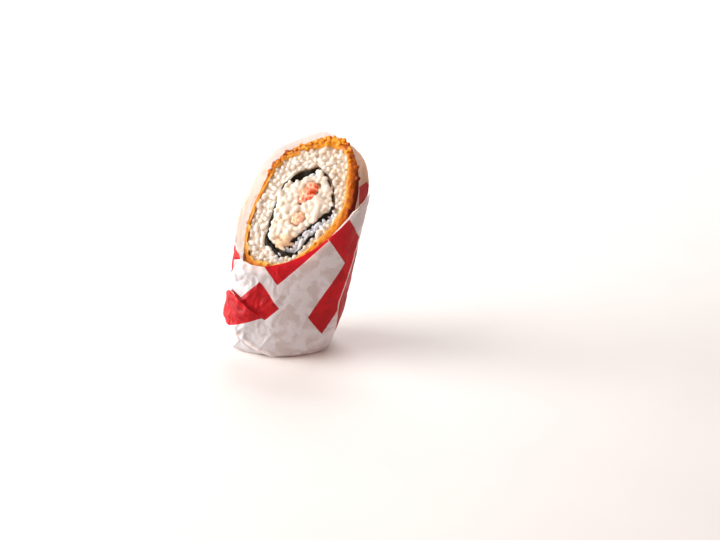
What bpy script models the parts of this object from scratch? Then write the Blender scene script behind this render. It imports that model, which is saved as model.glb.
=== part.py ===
"""Half of a battered sushi burrito, cut on the slant and standing on its paper-wrapped end.

The roll leans a little to +X. Its section is the same at every height, so a point of the roll is given
by section coordinates x, y and a height z, all in millimetres, and to_world() leans it into place.
The cut face is a slanted plane over the section. Batter, rice, nori, salad and crab all run through
the roll from its fried end to the cut. The waxed paper stands round them on a flat folded base.
"""

import math
import random

import bmesh
import bpy
import numpy as np
from mathutils import Matrix, Vector, noise
from mathutils.geometry import delaunay_2d_cdt

MM = 0.001
GAP = 0.3  # between pieces that touch

# The roll
LEAN = math.radians(7.5)
ROLL_RADII = (29.3, 29.6, 27.4, 26.7, 29.8, 28.2, 29.2, 30.5, 27.3, 26.8, 28.8, 32.0)  # every 30 degrees
END_INSET = (3.6, 3.6, 4.2, 5.0, 4.2, 3.4, 2.6, 5.0, 5.8, 5.7, 6.4, 6.0)  # rounding of the end, the same
END_HEIGHT = 14.0  # how far up that rounding reaches
CUT_HEIGHT = 88.0  # on the roll's axis
CUT_SLOPE_X = 0.56
CUT_SLOPE_Y = 1.03

# Batter
BATTER_THICKNESS = (3.3, 2.8, 2.6, 2.6, 2.4, 2.0, 1.8, 1.8, 1.9, 2.0, 3.6, 3.8)  # every 30 degrees
BATTER_SECTORS = 72
BATTER_ROWS = (0.0, 0.03, 0.08, 0.17, 0.33, 0.5, 0.68, 0.84, 0.94, 0.98, 1.0)  # shares of the wall's height
SHOULDER_SWELL = (3.6, 1.6, 0.2, 0.0, 0.0, 0.0, 0.0, 0.0, 0.0, 0.0, 0.2, 1.4)  # crust bulging below the cut
SHOULDER_DROP = 6.0  # the depth at which that bulge is full
SHOULDER_FADE = 52.0  # the depth at which it has gone again
CRAG_DEPTH = 1.0  # valleys in the fried wall
CRAG_SIZE = 4.5
RIM_CRUMB = 1.4  # how high the crumbs stand on the cut rim

# Rice
RICE_FLOOR = 4.4
RICE_RECESS = 1.7  # the core's top lies this far below the cut, measured straight down
GRAIN_LENGTH = 6.2
GRAIN_WIDTH = 2.8
GRAIN_SPACING = 2.75
GRAIN_TRIES = 5200
GRAIN_DEPTH = (0.25, 0.65)  # of a grain's middle below the cut
FLAT_ANGLE = math.radians(0.3)  # faces of the fused core within this are joined again

# Nori: its route through the section, from the inner end to the outer end
NORI_THICKNESS = 1.2
NORI_STEP = 1.7
NORI_ROUTE = (
    (-2.9, -17.5), (2.1, -15.1), (8.7, -13.2), (16.0, -11.9), (18.9, -10.9), (18.7, -6.1), (17.2, -0.5),
    (13.8, 6.2), (9.0, 11.0), (3.0, 12.8), (-5.0, 13.3), (-10.6, 12.0), (-12.9, 6.4), (-14.9, 0.2),
    (-15.9, -5.0), (-17.0, -9.3), (-14.5, -12.4), (-8.6, -17.9), (-3.5, -21.0), (1.8, -22.3),
    (5.9, -20.0), (11.9, -16.9),
)
NORI_LOOP_END = 17  # the route's point where the salad's cell closes back to the inner end
NORI_RECESS = 0.5

# Filling
CELL_CLOSE = 0.7  # between the salad and the rice where no nori parts them
SALAD_LUMP = 1.1
SALAD_LUMP_SIZE = 3.2
SALAD_GRID = 2.6
CRAB_PIECES = {  # centre x, y, radius, squash across, turn in degrees, rise above the cut
    "crab_piece_a": (4.7, 2.0, 5.6, 0.72, 4.0, 0.9),
    "crab_piece_b": (0.3, -7.5, 3.7, 0.66, -10.0, 0.5),
}
CRAB_SIDES = 14
CRAB_GRID = 2.2

# Paper
PAPER_THICKNESS = 0.6
PAPER_BASE = 0.8
PAPER_CLEARANCE = 0.95  # from the roll's radius to the paper's outer face where it lies tight
PAPER_SECTORS = 60
PAPER_LOW_ROWS = (3.0, 6.5, 10.5, 14.0, 17.0, 22.0)
PAPER_HIGH_ROWS = 6
PAPER_FLARE = (9.2, 5.2, 4.2, 4.4, 5.2, 6.4, 6.0, 4.2, 1.6, 1.0, 1.5, 3.9)  # gap at the mouth, every 30
FLARE_HEIGHTS = (0.0, 8.0, 14.0, 22.0, 33.0, 50.0, 64.0, 90.0)
FLARE_SHARE = (0.05, 0.1, 0.3, 0.53, 0.62, 0.8, 0.87, 1.0)
RIM_ANGLES = (-180, -160, -142, -124, -105, -79, -50, -30, -14, 0, 12, 25, 40, 61, 75, 106, 131, 150, 168)
RIM_LIFT = (-1.0, 6.0, 6.0, 2.6, 2.1, 1.4, 0.8, -0.5, -8.5, -13.0, -11.0, -8.5, -7.8, -3.4, -0.6, -0.8,
            1.6, 2.4, 3.0)  # of the paper's edge over the cut plane at those angles
FOLDS = (  # angle, height, reach in degrees, reach up, reach down, how far the fold stands out
    (179.0, 17.0, 26.0, 20.0, 6.0, 3.0),
    (176.0, 0.0, 22.0, 5.0, 5.0, 2.2),
    (-128.0, 26.0, 12.0, 34.0, 12.0, 0.9),
    (-38.0, 44.0, 9.0, 40.0, 30.0, 0.9),
    (60.0, 60.0, 14.0, 60.0, 40.0, 1.2),
)
WRINKLE = 0.55
WRINKLE_SIZE = 11.0


def clear_scene():
    for thing in list(bpy.data.objects):
        bpy.data.objects.remove(thing, do_unlink=True)


def material(name, colour, roughness):
    made = bpy.data.materials.new(name)
    made.use_nodes = True
    shader = made.node_tree.nodes["Principled BSDF"]
    shader.inputs["Base Color"].default_value = (*colour, 1.0)
    shader.inputs["Roughness"].default_value = roughness
    shader.inputs["Metallic"].default_value = 0.0
    return made


def add_object(name, bm, look):
    """Put a closed bmesh into the scene as one named object."""
    bmesh.ops.triangulate(bm, faces=bm.faces[:])
    mesh = bpy.data.meshes.new(name)
    bm.to_mesh(mesh)
    bm.free()
    mesh.materials.append(look)
    mesh.shade_smooth()
    mesh.set_sharp_from_angle(angle=math.radians(40))
    made = bpy.data.objects.new(name, mesh)
    bpy.context.scene.collection.objects.link(made)
    return made


# Section and cut


def round_value(values, angle):
    """A smooth closed curve through values spaced evenly round the section."""
    place = angle / math.tau * len(values) % len(values)
    first = int(place)
    part = place - first
    a, b, c, d = (values[(first + step) % len(values)] for step in (-1, 0, 1, 2))
    return 0.5 * (2 * b + (c - a) * part + (2 * a - 5 * b + 4 * c - d) * part**2
                  + (3 * b - a - 3 * c + d) * part**3)


def to_world(x, y, z):
    """A point in metres from section coordinates and a height in millimetres."""
    return Vector(((x + z * math.tan(LEAN)) * MM, y * MM, z * MM))


def to_section(point):
    height = point.z / MM
    return point.x / MM - height * math.tan(LEAN), point.y / MM


def cut_height(x, y):
    return CUT_HEIGHT + CUT_SLOPE_X * x + CUT_SLOPE_Y * y


def ring_points(radius_at, count):
    angles = [math.tau * step / count for step in range(count)]
    return [(radius_at(angle) * math.cos(angle), radius_at(angle) * math.sin(angle)) for angle in angles]


def end_radius(angle, height):
    """The roll's outer radius, drawn in over the rounded end."""
    radius = round_value(ROLL_RADII, angle)
    if height >= END_HEIGHT:
        return radius
    below = 1.0 - max(height, 0.0) / END_HEIGHT
    return radius - round_value(END_INSET, angle) * (1.0 - math.sqrt(1.0 - below**2))


def shoulder(angle, depth):
    """How far the crust bulges outside the cut's outline at a depth below the cut."""
    rise = 1.0 - min(max(depth, 0.0) / SHOULDER_DROP, 1.0)
    fade = 1.0 - min(max(depth - SHOULDER_DROP, 0.0) / (SHOULDER_FADE - SHOULDER_DROP), 1.0)
    return max(round_value(SHOULDER_SWELL, angle), 0.0) * math.sqrt(1.0 - rise**2) * fade


def batter_inner(angle):
    return round_value(ROLL_RADII, angle) - round_value(BATTER_THICKNESS, angle)


# Bodies made of stacked rings, and bodies made by carrying a filled section along the roll


def ring_faces(bm, lower, upper):
    for first in range(len(lower)):
        second = (first + 1) % len(lower)
        bm.faces.new((lower[first], lower[second], upper[second], upper[first]))


def stacked_rings(rings):
    """A closed body through rings that run up the outside, over the rim and down the inside."""
    bm = bmesh.new()
    loops = [[bm.verts.new(point) for point in ring] for ring in rings]
    for lower, upper in zip(loops, loops[1:]):
        ring_faces(bm, lower, upper)
    bm.faces.new(list(reversed(loops[0])))
    bm.faces.new(loops[-1])
    return bm


def fill(outline, holes, inner=()):
    """Triangles over an outline less its holes, with extra points inside for relief."""
    points = []
    faces = []
    for loop in (outline, *holes):
        faces.append(list(range(len(points), len(points) + len(loop))))
        points.extend(Vector(point) for point in loop)
    points.extend(Vector(point) for point in inner)
    verts, _, triangles, _, _, sources = delaunay_2d_cdt(points, [], faces, 1, 1e-5)
    kept = [face for face, source in zip(triangles, sources) if source == [0]]
    return verts, kept


def prism(verts, triangles, floor, top_at):
    """Carry filled section triangles from a flat floor up to the height that top_at gives."""
    bm = bmesh.new()
    low = {}
    high = {}
    for index in {corner for face in triangles for corner in face}:
        x, y = verts[index]
        low[index] = bm.verts.new(to_world(x, y, floor))
        high[index] = bm.verts.new(to_world(x, y, top_at(x, y)))
    sides = {(face[step], face[(step + 1) % 3]) for face in triangles for step in range(3)}
    for face in triangles:
        bm.faces.new([high[corner] for corner in face])
        bm.faces.new([low[corner] for corner in reversed(face)])
    for start, end in sides:
        if (end, start) not in sides:
            bm.faces.new((low[start], low[end], high[end], high[start]))
    return bm


def smooth_route(points, step):
    """Evenly spaced points of a smooth open curve through the route's points."""
    ends = [2 * np.array(points[0]) - np.array(points[1]), 2 * np.array(points[-1]) - np.array(points[-2])]
    knots = [ends[0], *map(np.array, points), ends[1]]
    curve = []
    for a, b, c, d in zip(knots, knots[1:], knots[2:], knots[3:]):
        for part in np.linspace(0.0, 1.0, 12, endpoint=False):
            curve.append(0.5 * (2 * b + (c - a) * part + (2 * a - 5 * b + 4 * c - d) * part**2
                                + (3 * b - a - 3 * c + d) * part**3))
    curve = np.array([*curve, knots[-2]])
    along = np.concatenate([[0.0], np.cumsum(np.linalg.norm(np.diff(curve, axis=0), axis=1))])
    marks = np.linspace(0.0, along[-1], round(along[-1] / step) + 1)
    return np.stack([np.interp(marks, along, curve[:, axis]) for axis in (0, 1)], axis=1)


def strip_outline(route, half_width, extra=0.0):
    """The closed outline of a strip laid along a route, lengthened by extra at both ends."""
    ahead = np.gradient(route, axis=0)
    ahead /= np.linalg.norm(ahead, axis=1)[:, None]
    side = np.stack([-ahead[:, 1], ahead[:, 0]], axis=1) * half_width
    middle = route.copy()
    middle[0] -= ahead[0] * extra
    middle[-1] += ahead[-1] * extra
    return [*map(tuple, middle - side), *map(tuple, (middle + side)[::-1])]


def lobed_outline(centre_x, centre_y, radius, squash, turn, grow=0.0):
    """A rounded, three-lobed outline, as a bundle of crab sticks is in section."""
    points = []
    for step in range(CRAB_SIDES):
        angle = math.tau * step / CRAB_SIDES
        reach = radius * (1.0 + 0.1 * math.cos(3 * angle + 0.6) + 0.04 * math.cos(5 * angle)) + grow
        points.append(Matrix.Rotation(math.radians(turn), 2)
                      @ Vector((reach * math.cos(angle), squash * reach * math.sin(angle))))
    return [(point.x + centre_x, point.y + centre_y) for point in points]


def grid_points(low, high, step):
    return [(x, y) for x in np.arange(low[0], high[0], step) for y in np.arange(low[1], high[1], step)]


def inside(point, polygon):
    crossings = 0
    for (x1, y1), (x2, y2) in zip(polygon, [*polygon[1:], polygon[0]]):
        if (y1 > point[1]) != (y2 > point[1]):
            crossings += point[0] < x1 + (point[1] - y1) * (x2 - x1) / (y2 - y1)
    return crossings % 2 == 1


def edge_distance(points, polygon):
    """The smallest distance from each point to a polygon's edges."""
    start = np.array(polygon)
    along = np.roll(start, -1, axis=0) - start
    offset = np.array(points)[:, None] - start
    share = np.clip((offset * along).sum(-1) / (along**2).sum(-1), 0.0, 1.0)
    return np.linalg.norm(offset - share[..., None] * along, axis=-1).min(axis=1)


# Pieces


def make_batter(look):
    """The fried coat: a closed rounded end, a cragged wall and a crumbed rim at the cut."""
    floor = PAPER_BASE + GAP
    angles = [math.tau * step / BATTER_SECTORS for step in range(BATTER_SECTORS)]

    def crag(angle, height):
        place = Vector((30 * math.cos(angle), 30 * math.sin(angle), height)) / CRAG_SIZE
        return CRAG_DEPTH * 0.5 * (1.0 + noise.noise(place)) - 0.1

    def wall_ring(share):
        ring = []
        for angle in angles:
            radius = round_value(ROLL_RADII, angle)
            top = cut_height(radius * math.cos(angle), radius * math.sin(angle))
            height = floor + (top - floor) * share
            radius = end_radius(angle, height - floor) + shoulder(angle, top - height) - crag(angle, height)
            ring.append((radius * math.cos(angle), radius * math.sin(angle), height))
        return ring

    def rim_ring(depth, lift):
        ring = []
        for step, angle in enumerate(angles):
            radius = round_value(ROLL_RADII, angle) - depth * round_value(BATTER_THICKNESS, angle)
            x, y = radius * math.cos(angle), radius * math.sin(angle)
            crumb = lift * (0.55 + 0.9 * noise.noise(Vector((x, y, 7.0 + step % 2)) / 2.3))
            ring.append((x, y, cut_height(x, y) + crumb))
        return ring

    inner = [(batter_inner(angle) * math.cos(angle), batter_inner(angle) * math.sin(angle))
             for angle in angles]
    rings = [wall_ring(share) for share in BATTER_ROWS]
    rings.append(rim_ring(0.35, RIM_CRUMB))
    rings.append(rim_ring(0.72, RIM_CRUMB))
    rings.append([(x, y, cut_height(x, y)) for x, y in inner])
    rings.append([(x, y, RICE_FLOOR - GAP) for x, y in inner])
    bm = stacked_rings([[to_world(*point) for point in ring] for ring in rings])
    return add_object("batter_coat", bm, look)


def nori_route():
    return smooth_route(NORI_ROUTE, NORI_STEP)


def make_nori(look):
    route = nori_route()
    outline = strip_outline(route, NORI_THICKNESS / 2)
    verts, triangles = fill(outline, [])

    def top(x, y):
        wave = 0.35 * noise.noise(Vector((x, y, 0.0)) / 3.0)
        return cut_height(x, y) - NORI_RECESS + wave

    return add_object("nori", prism(verts, triangles, RICE_FLOOR, top), look)


def salad_cell(inset):
    """The outline inside the nori's loop, closed from the tail back to the inner end."""
    route = nori_route()
    closing = np.array(NORI_ROUTE[NORI_LOOP_END])
    last = int(np.argmin(np.linalg.norm(route - closing, axis=1)))
    cell = [tuple(point) for point in route[: last + 1]]
    lift = Vector((0.0, inset))
    cell[-1] = tuple(Vector(cell[-1]) + lift)
    cell[0] = tuple(Vector(cell[0]) + lift)
    return cell


def nori_slot():
    return strip_outline(nori_route(), NORI_THICKNESS / 2 + GAP, GAP)


def make_salad(look):
    """Creamy shredded salad that fills the nori, lumpy at the cut, round the crab pieces."""
    cell = salad_cell(CELL_CLOSE)
    crab = [lobed_outline(*size[:5], grow=GAP) for size in CRAB_PIECES.values()]
    slot = nori_slot()
    low = np.min(cell, axis=0)
    high = np.max(cell, axis=0)
    grid = [point for point in grid_points(low, high, SALAD_GRID)
            if inside(point, cell) and not any(inside(point, hole) for hole in crab)
            and min(edge_distance([point], loop)[0] for loop in (slot, *crab)) > 0.8]
    verts, triangles = fill(cell, [slot, *crab], grid)

    def top(x, y):
        lump = noise.noise(Vector((x, y, 3.0)) / SALAD_LUMP_SIZE)
        return cut_height(x, y) + SALAD_LUMP * lump

    return add_object("cream_salad", prism(verts, triangles, RICE_FLOOR, top), look)


def make_crab(name, size, look):
    outline = lobed_outline(*size[:5])
    reach = size[2]
    low = (size[0] - reach, size[1] - reach)
    high = (size[0] + reach, size[1] + reach)
    grid = [point for point in grid_points(low, high, CRAB_GRID)
            if inside(point, outline) and edge_distance([point], outline)[0] > 0.7]
    verts, triangles = fill(outline, [], grid)

    def top(x, y):
        ridge = 0.5 * math.sin(2.4 * (x - y)) + 0.6 * noise.noise(Vector((x, y, 9.0)) / 2.0)
        return cut_height(x, y) + size[5] + ridge

    return add_object(name, prism(verts, triangles, RICE_FLOOR, top), look)


def grain_mesh():
    """A long low-sided grain of rice, 30 triangles, lying along its own X."""
    bm = bmesh.new()
    turn = Matrix.Rotation(math.radians(90), 4, "Y")
    bmesh.ops.create_uvsphere(bm, u_segments=5, v_segments=4, radius=0.5, matrix=turn)
    bmesh.ops.triangulate(bm, faces=bm.faces[:])
    bm.normal_update()
    mesh = bpy.data.meshes.new("grain")
    bm.to_mesh(mesh)
    bm.free()
    return mesh


def grain_places(mesh, outline, slot, cell):
    """Where grains lie on the cut face: spaced apart, and each clear of nori, salad and batter."""
    draw = random.Random(11)
    along_x = to_world(1.0, 0.0, CUT_SLOPE_X) - to_world(0.0, 0.0, 0.0)
    along_y = to_world(0.0, 1.0, CUT_SLOPE_Y) - to_world(0.0, 0.0, 0.0)
    normal = along_x.cross(along_y).normalized()
    first = along_x.normalized()
    second = normal.cross(first)
    reach = max(ROLL_RADII)
    places = []
    for _ in range(GRAIN_TRIES):
        x, y = draw.uniform(-reach, reach), draw.uniform(-reach, reach)
        if not inside((x, y), outline) or inside((x, y), slot) or inside((x, y), cell):
            continue
        depth = draw.uniform(*GRAIN_DEPTH)
        middle = to_world(x, y, cut_height(x, y)) - normal * depth * MM
        if any((middle - other.translation).length < GRAIN_SPACING * MM for other in places):
            continue
        for length in (1.0, 0.85, 0.7):
            angle = draw.uniform(0.0, math.pi)
            tilt = draw.uniform(-0.3, 0.3)
            axis = (first * math.cos(angle) + second * math.sin(angle)) * math.cos(tilt)
            axis = (axis + normal * math.sin(tilt)).normalized()
            across = normal.cross(axis).normalized()
            turned = Matrix((axis, across, axis.cross(across))).transposed().to_4x4()
            size = (GRAIN_LENGTH * length * MM, GRAIN_WIDTH * MM, GRAIN_WIDTH * 0.92 * MM, 1.0)
            place = Matrix.Translation(middle) @ turned @ Matrix.Diagonal(size)
            corners = [to_section(place @ vert.co) for vert in mesh.vertices]
            clear = min(edge_distance(corners, loop).min() for loop in (outline, slot, cell))
            crossed = any(not inside(corner, outline) or inside(corner, slot) or inside(corner, cell)
                          for corner in corners)
            if clear > 0.15 and not crossed:
                places.append(place)
                break
    return places


def largest_body(thing):
    """Keep one closed body: scraps are dropped, and hollows sealed between grains are filled."""
    bm = bmesh.new()
    bm.from_mesh(thing.data)
    left = set(bm.verts)
    bodies = []
    while left:
        stack = [left.pop()]
        body = set(stack)
        while stack:
            for edge in stack.pop().link_edges:
                for vert in edge.verts:
                    if vert in left:
                        left.discard(vert)
                        body.add(vert)
                        stack.append(vert)
        bodies.append(body)
    bodies.sort(key=len)
    loose = [vert for body in bodies[:-1] for vert in body]
    bmesh.ops.delete(bm, geom=loose, context="VERTS")
    bmesh.ops.dissolve_limit(bm, angle_limit=FLAT_ANGLE, verts=bm.verts[:], edges=bm.edges[:])
    bmesh.ops.triangulate(bm, faces=bm.faces[:])
    bm.to_mesh(thing.data)
    bm.free()


def make_rice(look):
    """The rice round the nori and in its overlap: a core with the grains that show fused on."""
    outline = ring_points(lambda angle: batter_inner(angle) - GAP, BATTER_SECTORS)
    slot = nori_slot()
    cell = salad_cell(0.0)
    verts, triangles = fill(outline, [slot, cell])
    core = add_object("rice", prism(verts, triangles, RICE_FLOOR,
                                    lambda x, y: cut_height(x, y) - RICE_RECESS), look)
    grain = grain_mesh()
    heap = bpy.data.collections.new("grains")
    bpy.context.scene.collection.children.link(heap)
    for index, place in enumerate(grain_places(grain, outline, slot, cell)):
        copy = bpy.data.objects.new(f"grain_{index}", grain)
        copy.matrix_world = place
        heap.objects.link(copy)
    print("grains", len(heap.objects))
    fuse = core.modifiers.new("grains", "BOOLEAN")
    fuse.operation = "UNION"
    fuse.operand_type = "COLLECTION"
    fuse.collection = heap
    fuse.solver = "MANIFOLD"
    bpy.context.view_layer.update()
    fused = bpy.data.meshes.new_from_object(core.evaluated_get(bpy.context.evaluated_depsgraph_get()))
    core.modifiers.remove(fuse)
    core.data = fused
    for copy in list(heap.objects):
        bpy.data.objects.remove(copy, do_unlink=True)
    bpy.data.collections.remove(heap)
    largest_body(core)
    return core


def rim_height(angle):
    """The height of the paper's free edge: near the cut plane, and dipped at +X."""
    degrees = (math.degrees(angle) + 180.0) % 360.0 - 180.0
    lift = np.interp(degrees, RIM_ANGLES, RIM_LIFT, period=360.0)
    radius = round_value(ROLL_RADII, angle) + round_value(PAPER_FLARE, angle)
    return cut_height(radius * math.cos(angle), radius * math.sin(angle)) + lift


def fold_relief(angle, height):
    """Pleats and turned-in corners: each a tent over the paper, in degrees and millimetres."""
    total = 0.0
    for where, level, wide, up, down, out in FOLDS:
        turn = abs((math.degrees(angle) - where + 180.0) % 360.0 - 180.0) / wide
        rise = (height - level) / (up if height > level else down)
        total += out * max(0.0, 1.0 - turn) * max(0.0, 1.0 - abs(rise))
    return total


def paper_radius(angle, height):
    flare = round_value(PAPER_FLARE, angle) * np.interp(height, FLARE_HEIGHTS, FLARE_SHARE)
    place = Vector((34 * math.cos(angle), 34 * math.sin(angle), 0.6 * height)) / WRINKLE_SIZE
    wrinkle = WRINKLE * (1.0 + noise.noise(place)) * min(1.0, height / END_HEIGHT)
    return end_radius(angle, height) + max(flare, PAPER_CLEARANCE) + fold_relief(angle, height) + wrinkle


def make_paper(look):
    """The waxed paper: a flat folded base, a loose pleated wall and a slanted free edge."""
    angles = [math.tau * step / PAPER_SECTORS for step in range(PAPER_SECTORS)]

    def ring(height_at, inset):
        points = []
        for angle in angles:
            height = height_at(angle)
            radius = paper_radius(angle, height) - inset
            points.append(to_world(radius * math.cos(angle), radius * math.sin(angle), height))
        return points

    lowest_high = PAPER_LOW_ROWS[-1]
    shares = [step / PAPER_HIGH_ROWS for step in range(1, PAPER_HIGH_ROWS + 1)]
    levels = [lambda angle, low=low: low for low in PAPER_LOW_ROWS]
    levels += [lambda angle, share=share: lowest_high + (rim_height(angle) - lowest_high) * share
               for share in shares]
    outside = [ring(level, 0.0) for level in levels]
    inside_wall = [ring(level, PAPER_THICKNESS) for level in reversed(levels)]
    base = ring(lambda angle: 0.0, 0.0)
    floor = ring(lambda angle: PAPER_BASE, PAPER_THICKNESS)
    return add_object("paper_wrap", stacked_rings([base, *outside, *inside_wall, floor]), look)


def main():
    clear_scene()
    make_paper(material("waxed_paper", (0.76, 0.66, 0.66), 0.45))
    make_batter(material("fried_batter", (0.67, 0.27, 0.05), 0.4))
    make_rice(material("rice", (0.74, 0.64, 0.5), 0.45))
    make_nori(material("nori", (0.012, 0.01, 0.006), 0.4))
    make_salad(material("cream_salad", (0.9, 0.78, 0.64), 0.35))
    crab_look = material("crab", (0.85, 0.38, 0.22), 0.4)
    for name, size in CRAB_PIECES.items():
        make_crab(name, size, crab_look)


main()
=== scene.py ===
"""Half of a battered sushi burrito, cut on the slant and standing in its printed waxed paper.

Sizes are in millimetres. The roll leans to +X and its section is the same at every height, so most
places are worked out as section coordinates x, y and a height z, and leaned over as they become points.
Points are turned into metres only where a mesh is made. The printed sheet is worked out flat: s runs
round the roll at a fixed radius and z is the height.
"""

import itertools
import math

import bmesh
import bpy
import numpy as np
from mathutils import Euler, Matrix
from mathutils.geometry import delaunay_2d_cdt
from mathutils.kdtree import KDTree

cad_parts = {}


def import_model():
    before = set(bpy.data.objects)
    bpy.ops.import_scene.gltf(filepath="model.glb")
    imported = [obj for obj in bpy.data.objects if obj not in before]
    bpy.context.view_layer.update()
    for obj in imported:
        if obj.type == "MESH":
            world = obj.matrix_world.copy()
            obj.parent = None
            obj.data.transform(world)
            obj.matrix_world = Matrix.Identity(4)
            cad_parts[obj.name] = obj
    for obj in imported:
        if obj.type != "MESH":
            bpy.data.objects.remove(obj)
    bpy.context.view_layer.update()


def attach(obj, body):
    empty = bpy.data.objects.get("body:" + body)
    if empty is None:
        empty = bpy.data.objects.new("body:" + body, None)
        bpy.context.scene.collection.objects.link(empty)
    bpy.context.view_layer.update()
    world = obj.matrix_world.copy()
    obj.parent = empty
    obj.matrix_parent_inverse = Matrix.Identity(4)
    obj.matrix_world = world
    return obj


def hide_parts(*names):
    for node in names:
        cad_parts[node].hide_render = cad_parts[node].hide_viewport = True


MM = 0.001
RNG_SEED = 7

# The roll, as in the frame
LEAN = math.tan(math.radians(7.5))
ROLL_RADII = (29.3, 29.6, 27.4, 26.7, 29.8, 28.2, 29.2, 30.5, 27.3, 26.8, 28.8, 32.0)  # every 30 degrees
END_INSET = (3.6, 3.6, 4.2, 5.0, 4.2, 3.4, 2.6, 5.0, 5.8, 5.7, 6.4, 6.0)
END_HEIGHT = 14.0
CUT_HEIGHT = 88.0
CUT_SLOPE_X = 0.56
CUT_SLOPE_Y = 1.03
BATTER_THICKNESS = (3.3, 2.8, 2.6, 2.6, 2.4, 2.0, 1.8, 1.8, 1.9, 2.0, 3.6, 3.8)
SHOULDER_SWELL = (4.0, 1.6, 0.2, 0.0, 0.0, 0.0, 0.0, 0.0, 0.0, 0.0, 0.6, 2.7)
SHOULDER_DROP = 6.0
SHOULDER_FADE = 52.0
SLICK = (-4.0, 36.0)  # where the wall shows smooth and oily: middle and reach in degrees
CRUSTY = (60.0, 46.0)  # where crumbs sit thick on the rim
CRUSTY_WALL = (65.0, 43.0)
TOASTED = (113.0, 127.0)  # two clusters of toasted crumbs, in degrees
FLOOR = 4.4  # where rice and filling start, above the fried end
NORI_ROUTE = (
    (-2.9, -17.5), (2.1, -15.1), (8.7, -13.2), (16.0, -11.9), (18.9, -10.9), (18.7, -6.1), (17.2, -0.5),
    (13.8, 6.2), (9.0, 11.0), (3.0, 12.8), (-5.0, 13.3), (-10.6, 12.0), (-12.9, 6.4), (-14.9, 0.2),
    (-15.9, -5.0), (-17.0, -9.3), (-14.5, -12.4), (-8.6, -17.9), (-3.5, -21.0), (1.8, -22.3),
    (5.9, -20.0), (11.9, -16.9),
)
NORI_LOOP_END = (-8.6, -17.9)  # where the salad's cell closes back to the inner end
CELL_MIDDLE = (0.0, -4.0)  # the salad's cell is looked at from here when its sides are told apart
CELL_LEFT = (178.0, 42.0)  # middle and reach of its left side, in degrees
CELL_RIGHT = (22.0, 44.0)
GAPE_LINE = ((5.5, 11.9), (-2.5, 13.1))  # where the rolled sheet stands away outwards
GAPE_ROOF = ((6.5, 13.6), (-4.5, 15.0))  # where grains may hang over that gape
HOLLOW_LINE = ((5.6, 10.9), (1.6, 12.4), (-3.2, 13.0))  # where the salad falls away beside the sheet
PAPER_FLARE = (9.2, 5.2, 4.2, 4.4, 5.2, 6.4, 6.0, 4.2, 1.6, 1.0, 1.5, 3.9)
FLARE_HEIGHTS = (0.0, 8.0, 14.0, 22.0, 33.0, 50.0, 64.0, 90.0)
FLARE_SHARE = (0.05, 0.1, 0.3, 0.53, 0.62, 0.8, 0.87, 1.0)
RIM_ANGLES = (-180, -160, -142, -124, -105, -79, -50, -30, -14, 0, 12, 25, 40, 61, 75, 106, 131, 150, 168)
RIM_LIFT = (-1.0, 6.0, 6.0, 3.2, 3.1, 2.6, 1.6, -0.3, -8.5, -13.0, -11.3, -9.2, -8.9, -4.6, -1.0, -0.8,
            1.6, 2.4, 3.0)

# Skins of many lumps are melted together at these voxel sizes
CRUMB_VOXEL = 0.26
GRAIN_VOXEL = 0.34
SALAD_VOXEL = 0.34
FLESH_VOXEL = 0.22

# Rice
GRAIN_LENGTH = 5.6
GRAIN_WIDTH = 3.5
STRAY_GRAIN = (5.0, 9.9)  # one that lies in the hollow over the salad
GRAIN_LAYERS = ((2.3, 0.2, 2.75), (1.3, 0.3, 2.95))  # depth below the cut, its spread, spacing
SHADED_STRIP = ((-8.0, -19.0), (-2.0, -19.4), (5.0, -17.4), (14.0, -14.4), (19.0, -12.5))

# Filling
TONGUE_LINE = ((-9.5, -14.6), (-2.5, -16.8))  # the stained end of the salad
TONGUE_LUMPS = ((-9.2, -14.6), (-7.4, -15.7), (-5.3, -16.3), (-3.0, -16.4), (-8.0, -13.2), (-5.9, -14.4))
RIDGE_LUMPS = (  # x, y, radius
    (8.7, 10.0, 1.6), (9.6, 8.3, 1.6), (10.6, 6.6, 1.7), (-2.4, 8.6, 1.5), (0.4, 8.2, 1.6), (-5.4, 9.4, 1.5),
)
CRAB = {  # centre x, y, radius, squash across, turn in degrees
    "crab_piece_a": (4.7, 2.0, 6.1, 0.74, 4.0),
    "crab_piece_b": (0.3, -7.5, 4.2, 0.66, -10.0),
}

# Paper
SHEET_THICKNESS = 0.14
FLAT_RADIUS = 34.0  # the radius at which the sheet is worked out flat
PAPER_BASE = 0.8
SHEET_FOOT = 0.3  # the height at which the wall of the sheet starts
# The front turn's two edges: shares of its height, and degrees there
FRONT_LEFT = ((0.0, 0.5, 0.66, 0.8, 0.9, 1.0), (-188.0, -186.0, -176.0, -164.0, -160.0, -149.0))
FRONT_RIGHT = ((0.0, 0.2, 0.38, 0.5, 0.64, 0.78, 1.0), (-29.5, -30.5, -31.0, -26.4, -19.5, -13.0, -5.0))
BACK_SPAN = (-64.0, 252.0)
# Pleats and turned-in corners: angle, height, reach in degrees, reach up, reach down, how far out
TENTS = (
    (179.0, 17.0, 26.0, 20.0, 6.0, 2.2),
    (176.0, 0.0, 22.0, 5.0, 5.0, 2.0),
    (199.0, 4.0, 17.0, 7.0, 5.0, 3.3),
    (60.0, 60.0, 14.0, 60.0, 40.0, 1.0),
)
# Folded steps: points s, z along the fold with the raised sheet on its left, rise, fade across it
STEPS = (
    (((-67.6, 25.0), (-72.7, 27.4), (-86.2, 35.1), (-93.6, 37.6), (-101.0, 34.6), (-112.0, 29.6)), 1.9, 11.0),
    (((-114.0, 24.0), (-97.0, 17.0), (-87.3, 14.2), (-71.4, 5.7), (-58.0, 1.0)), 1.5, 9.0),
)
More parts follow.
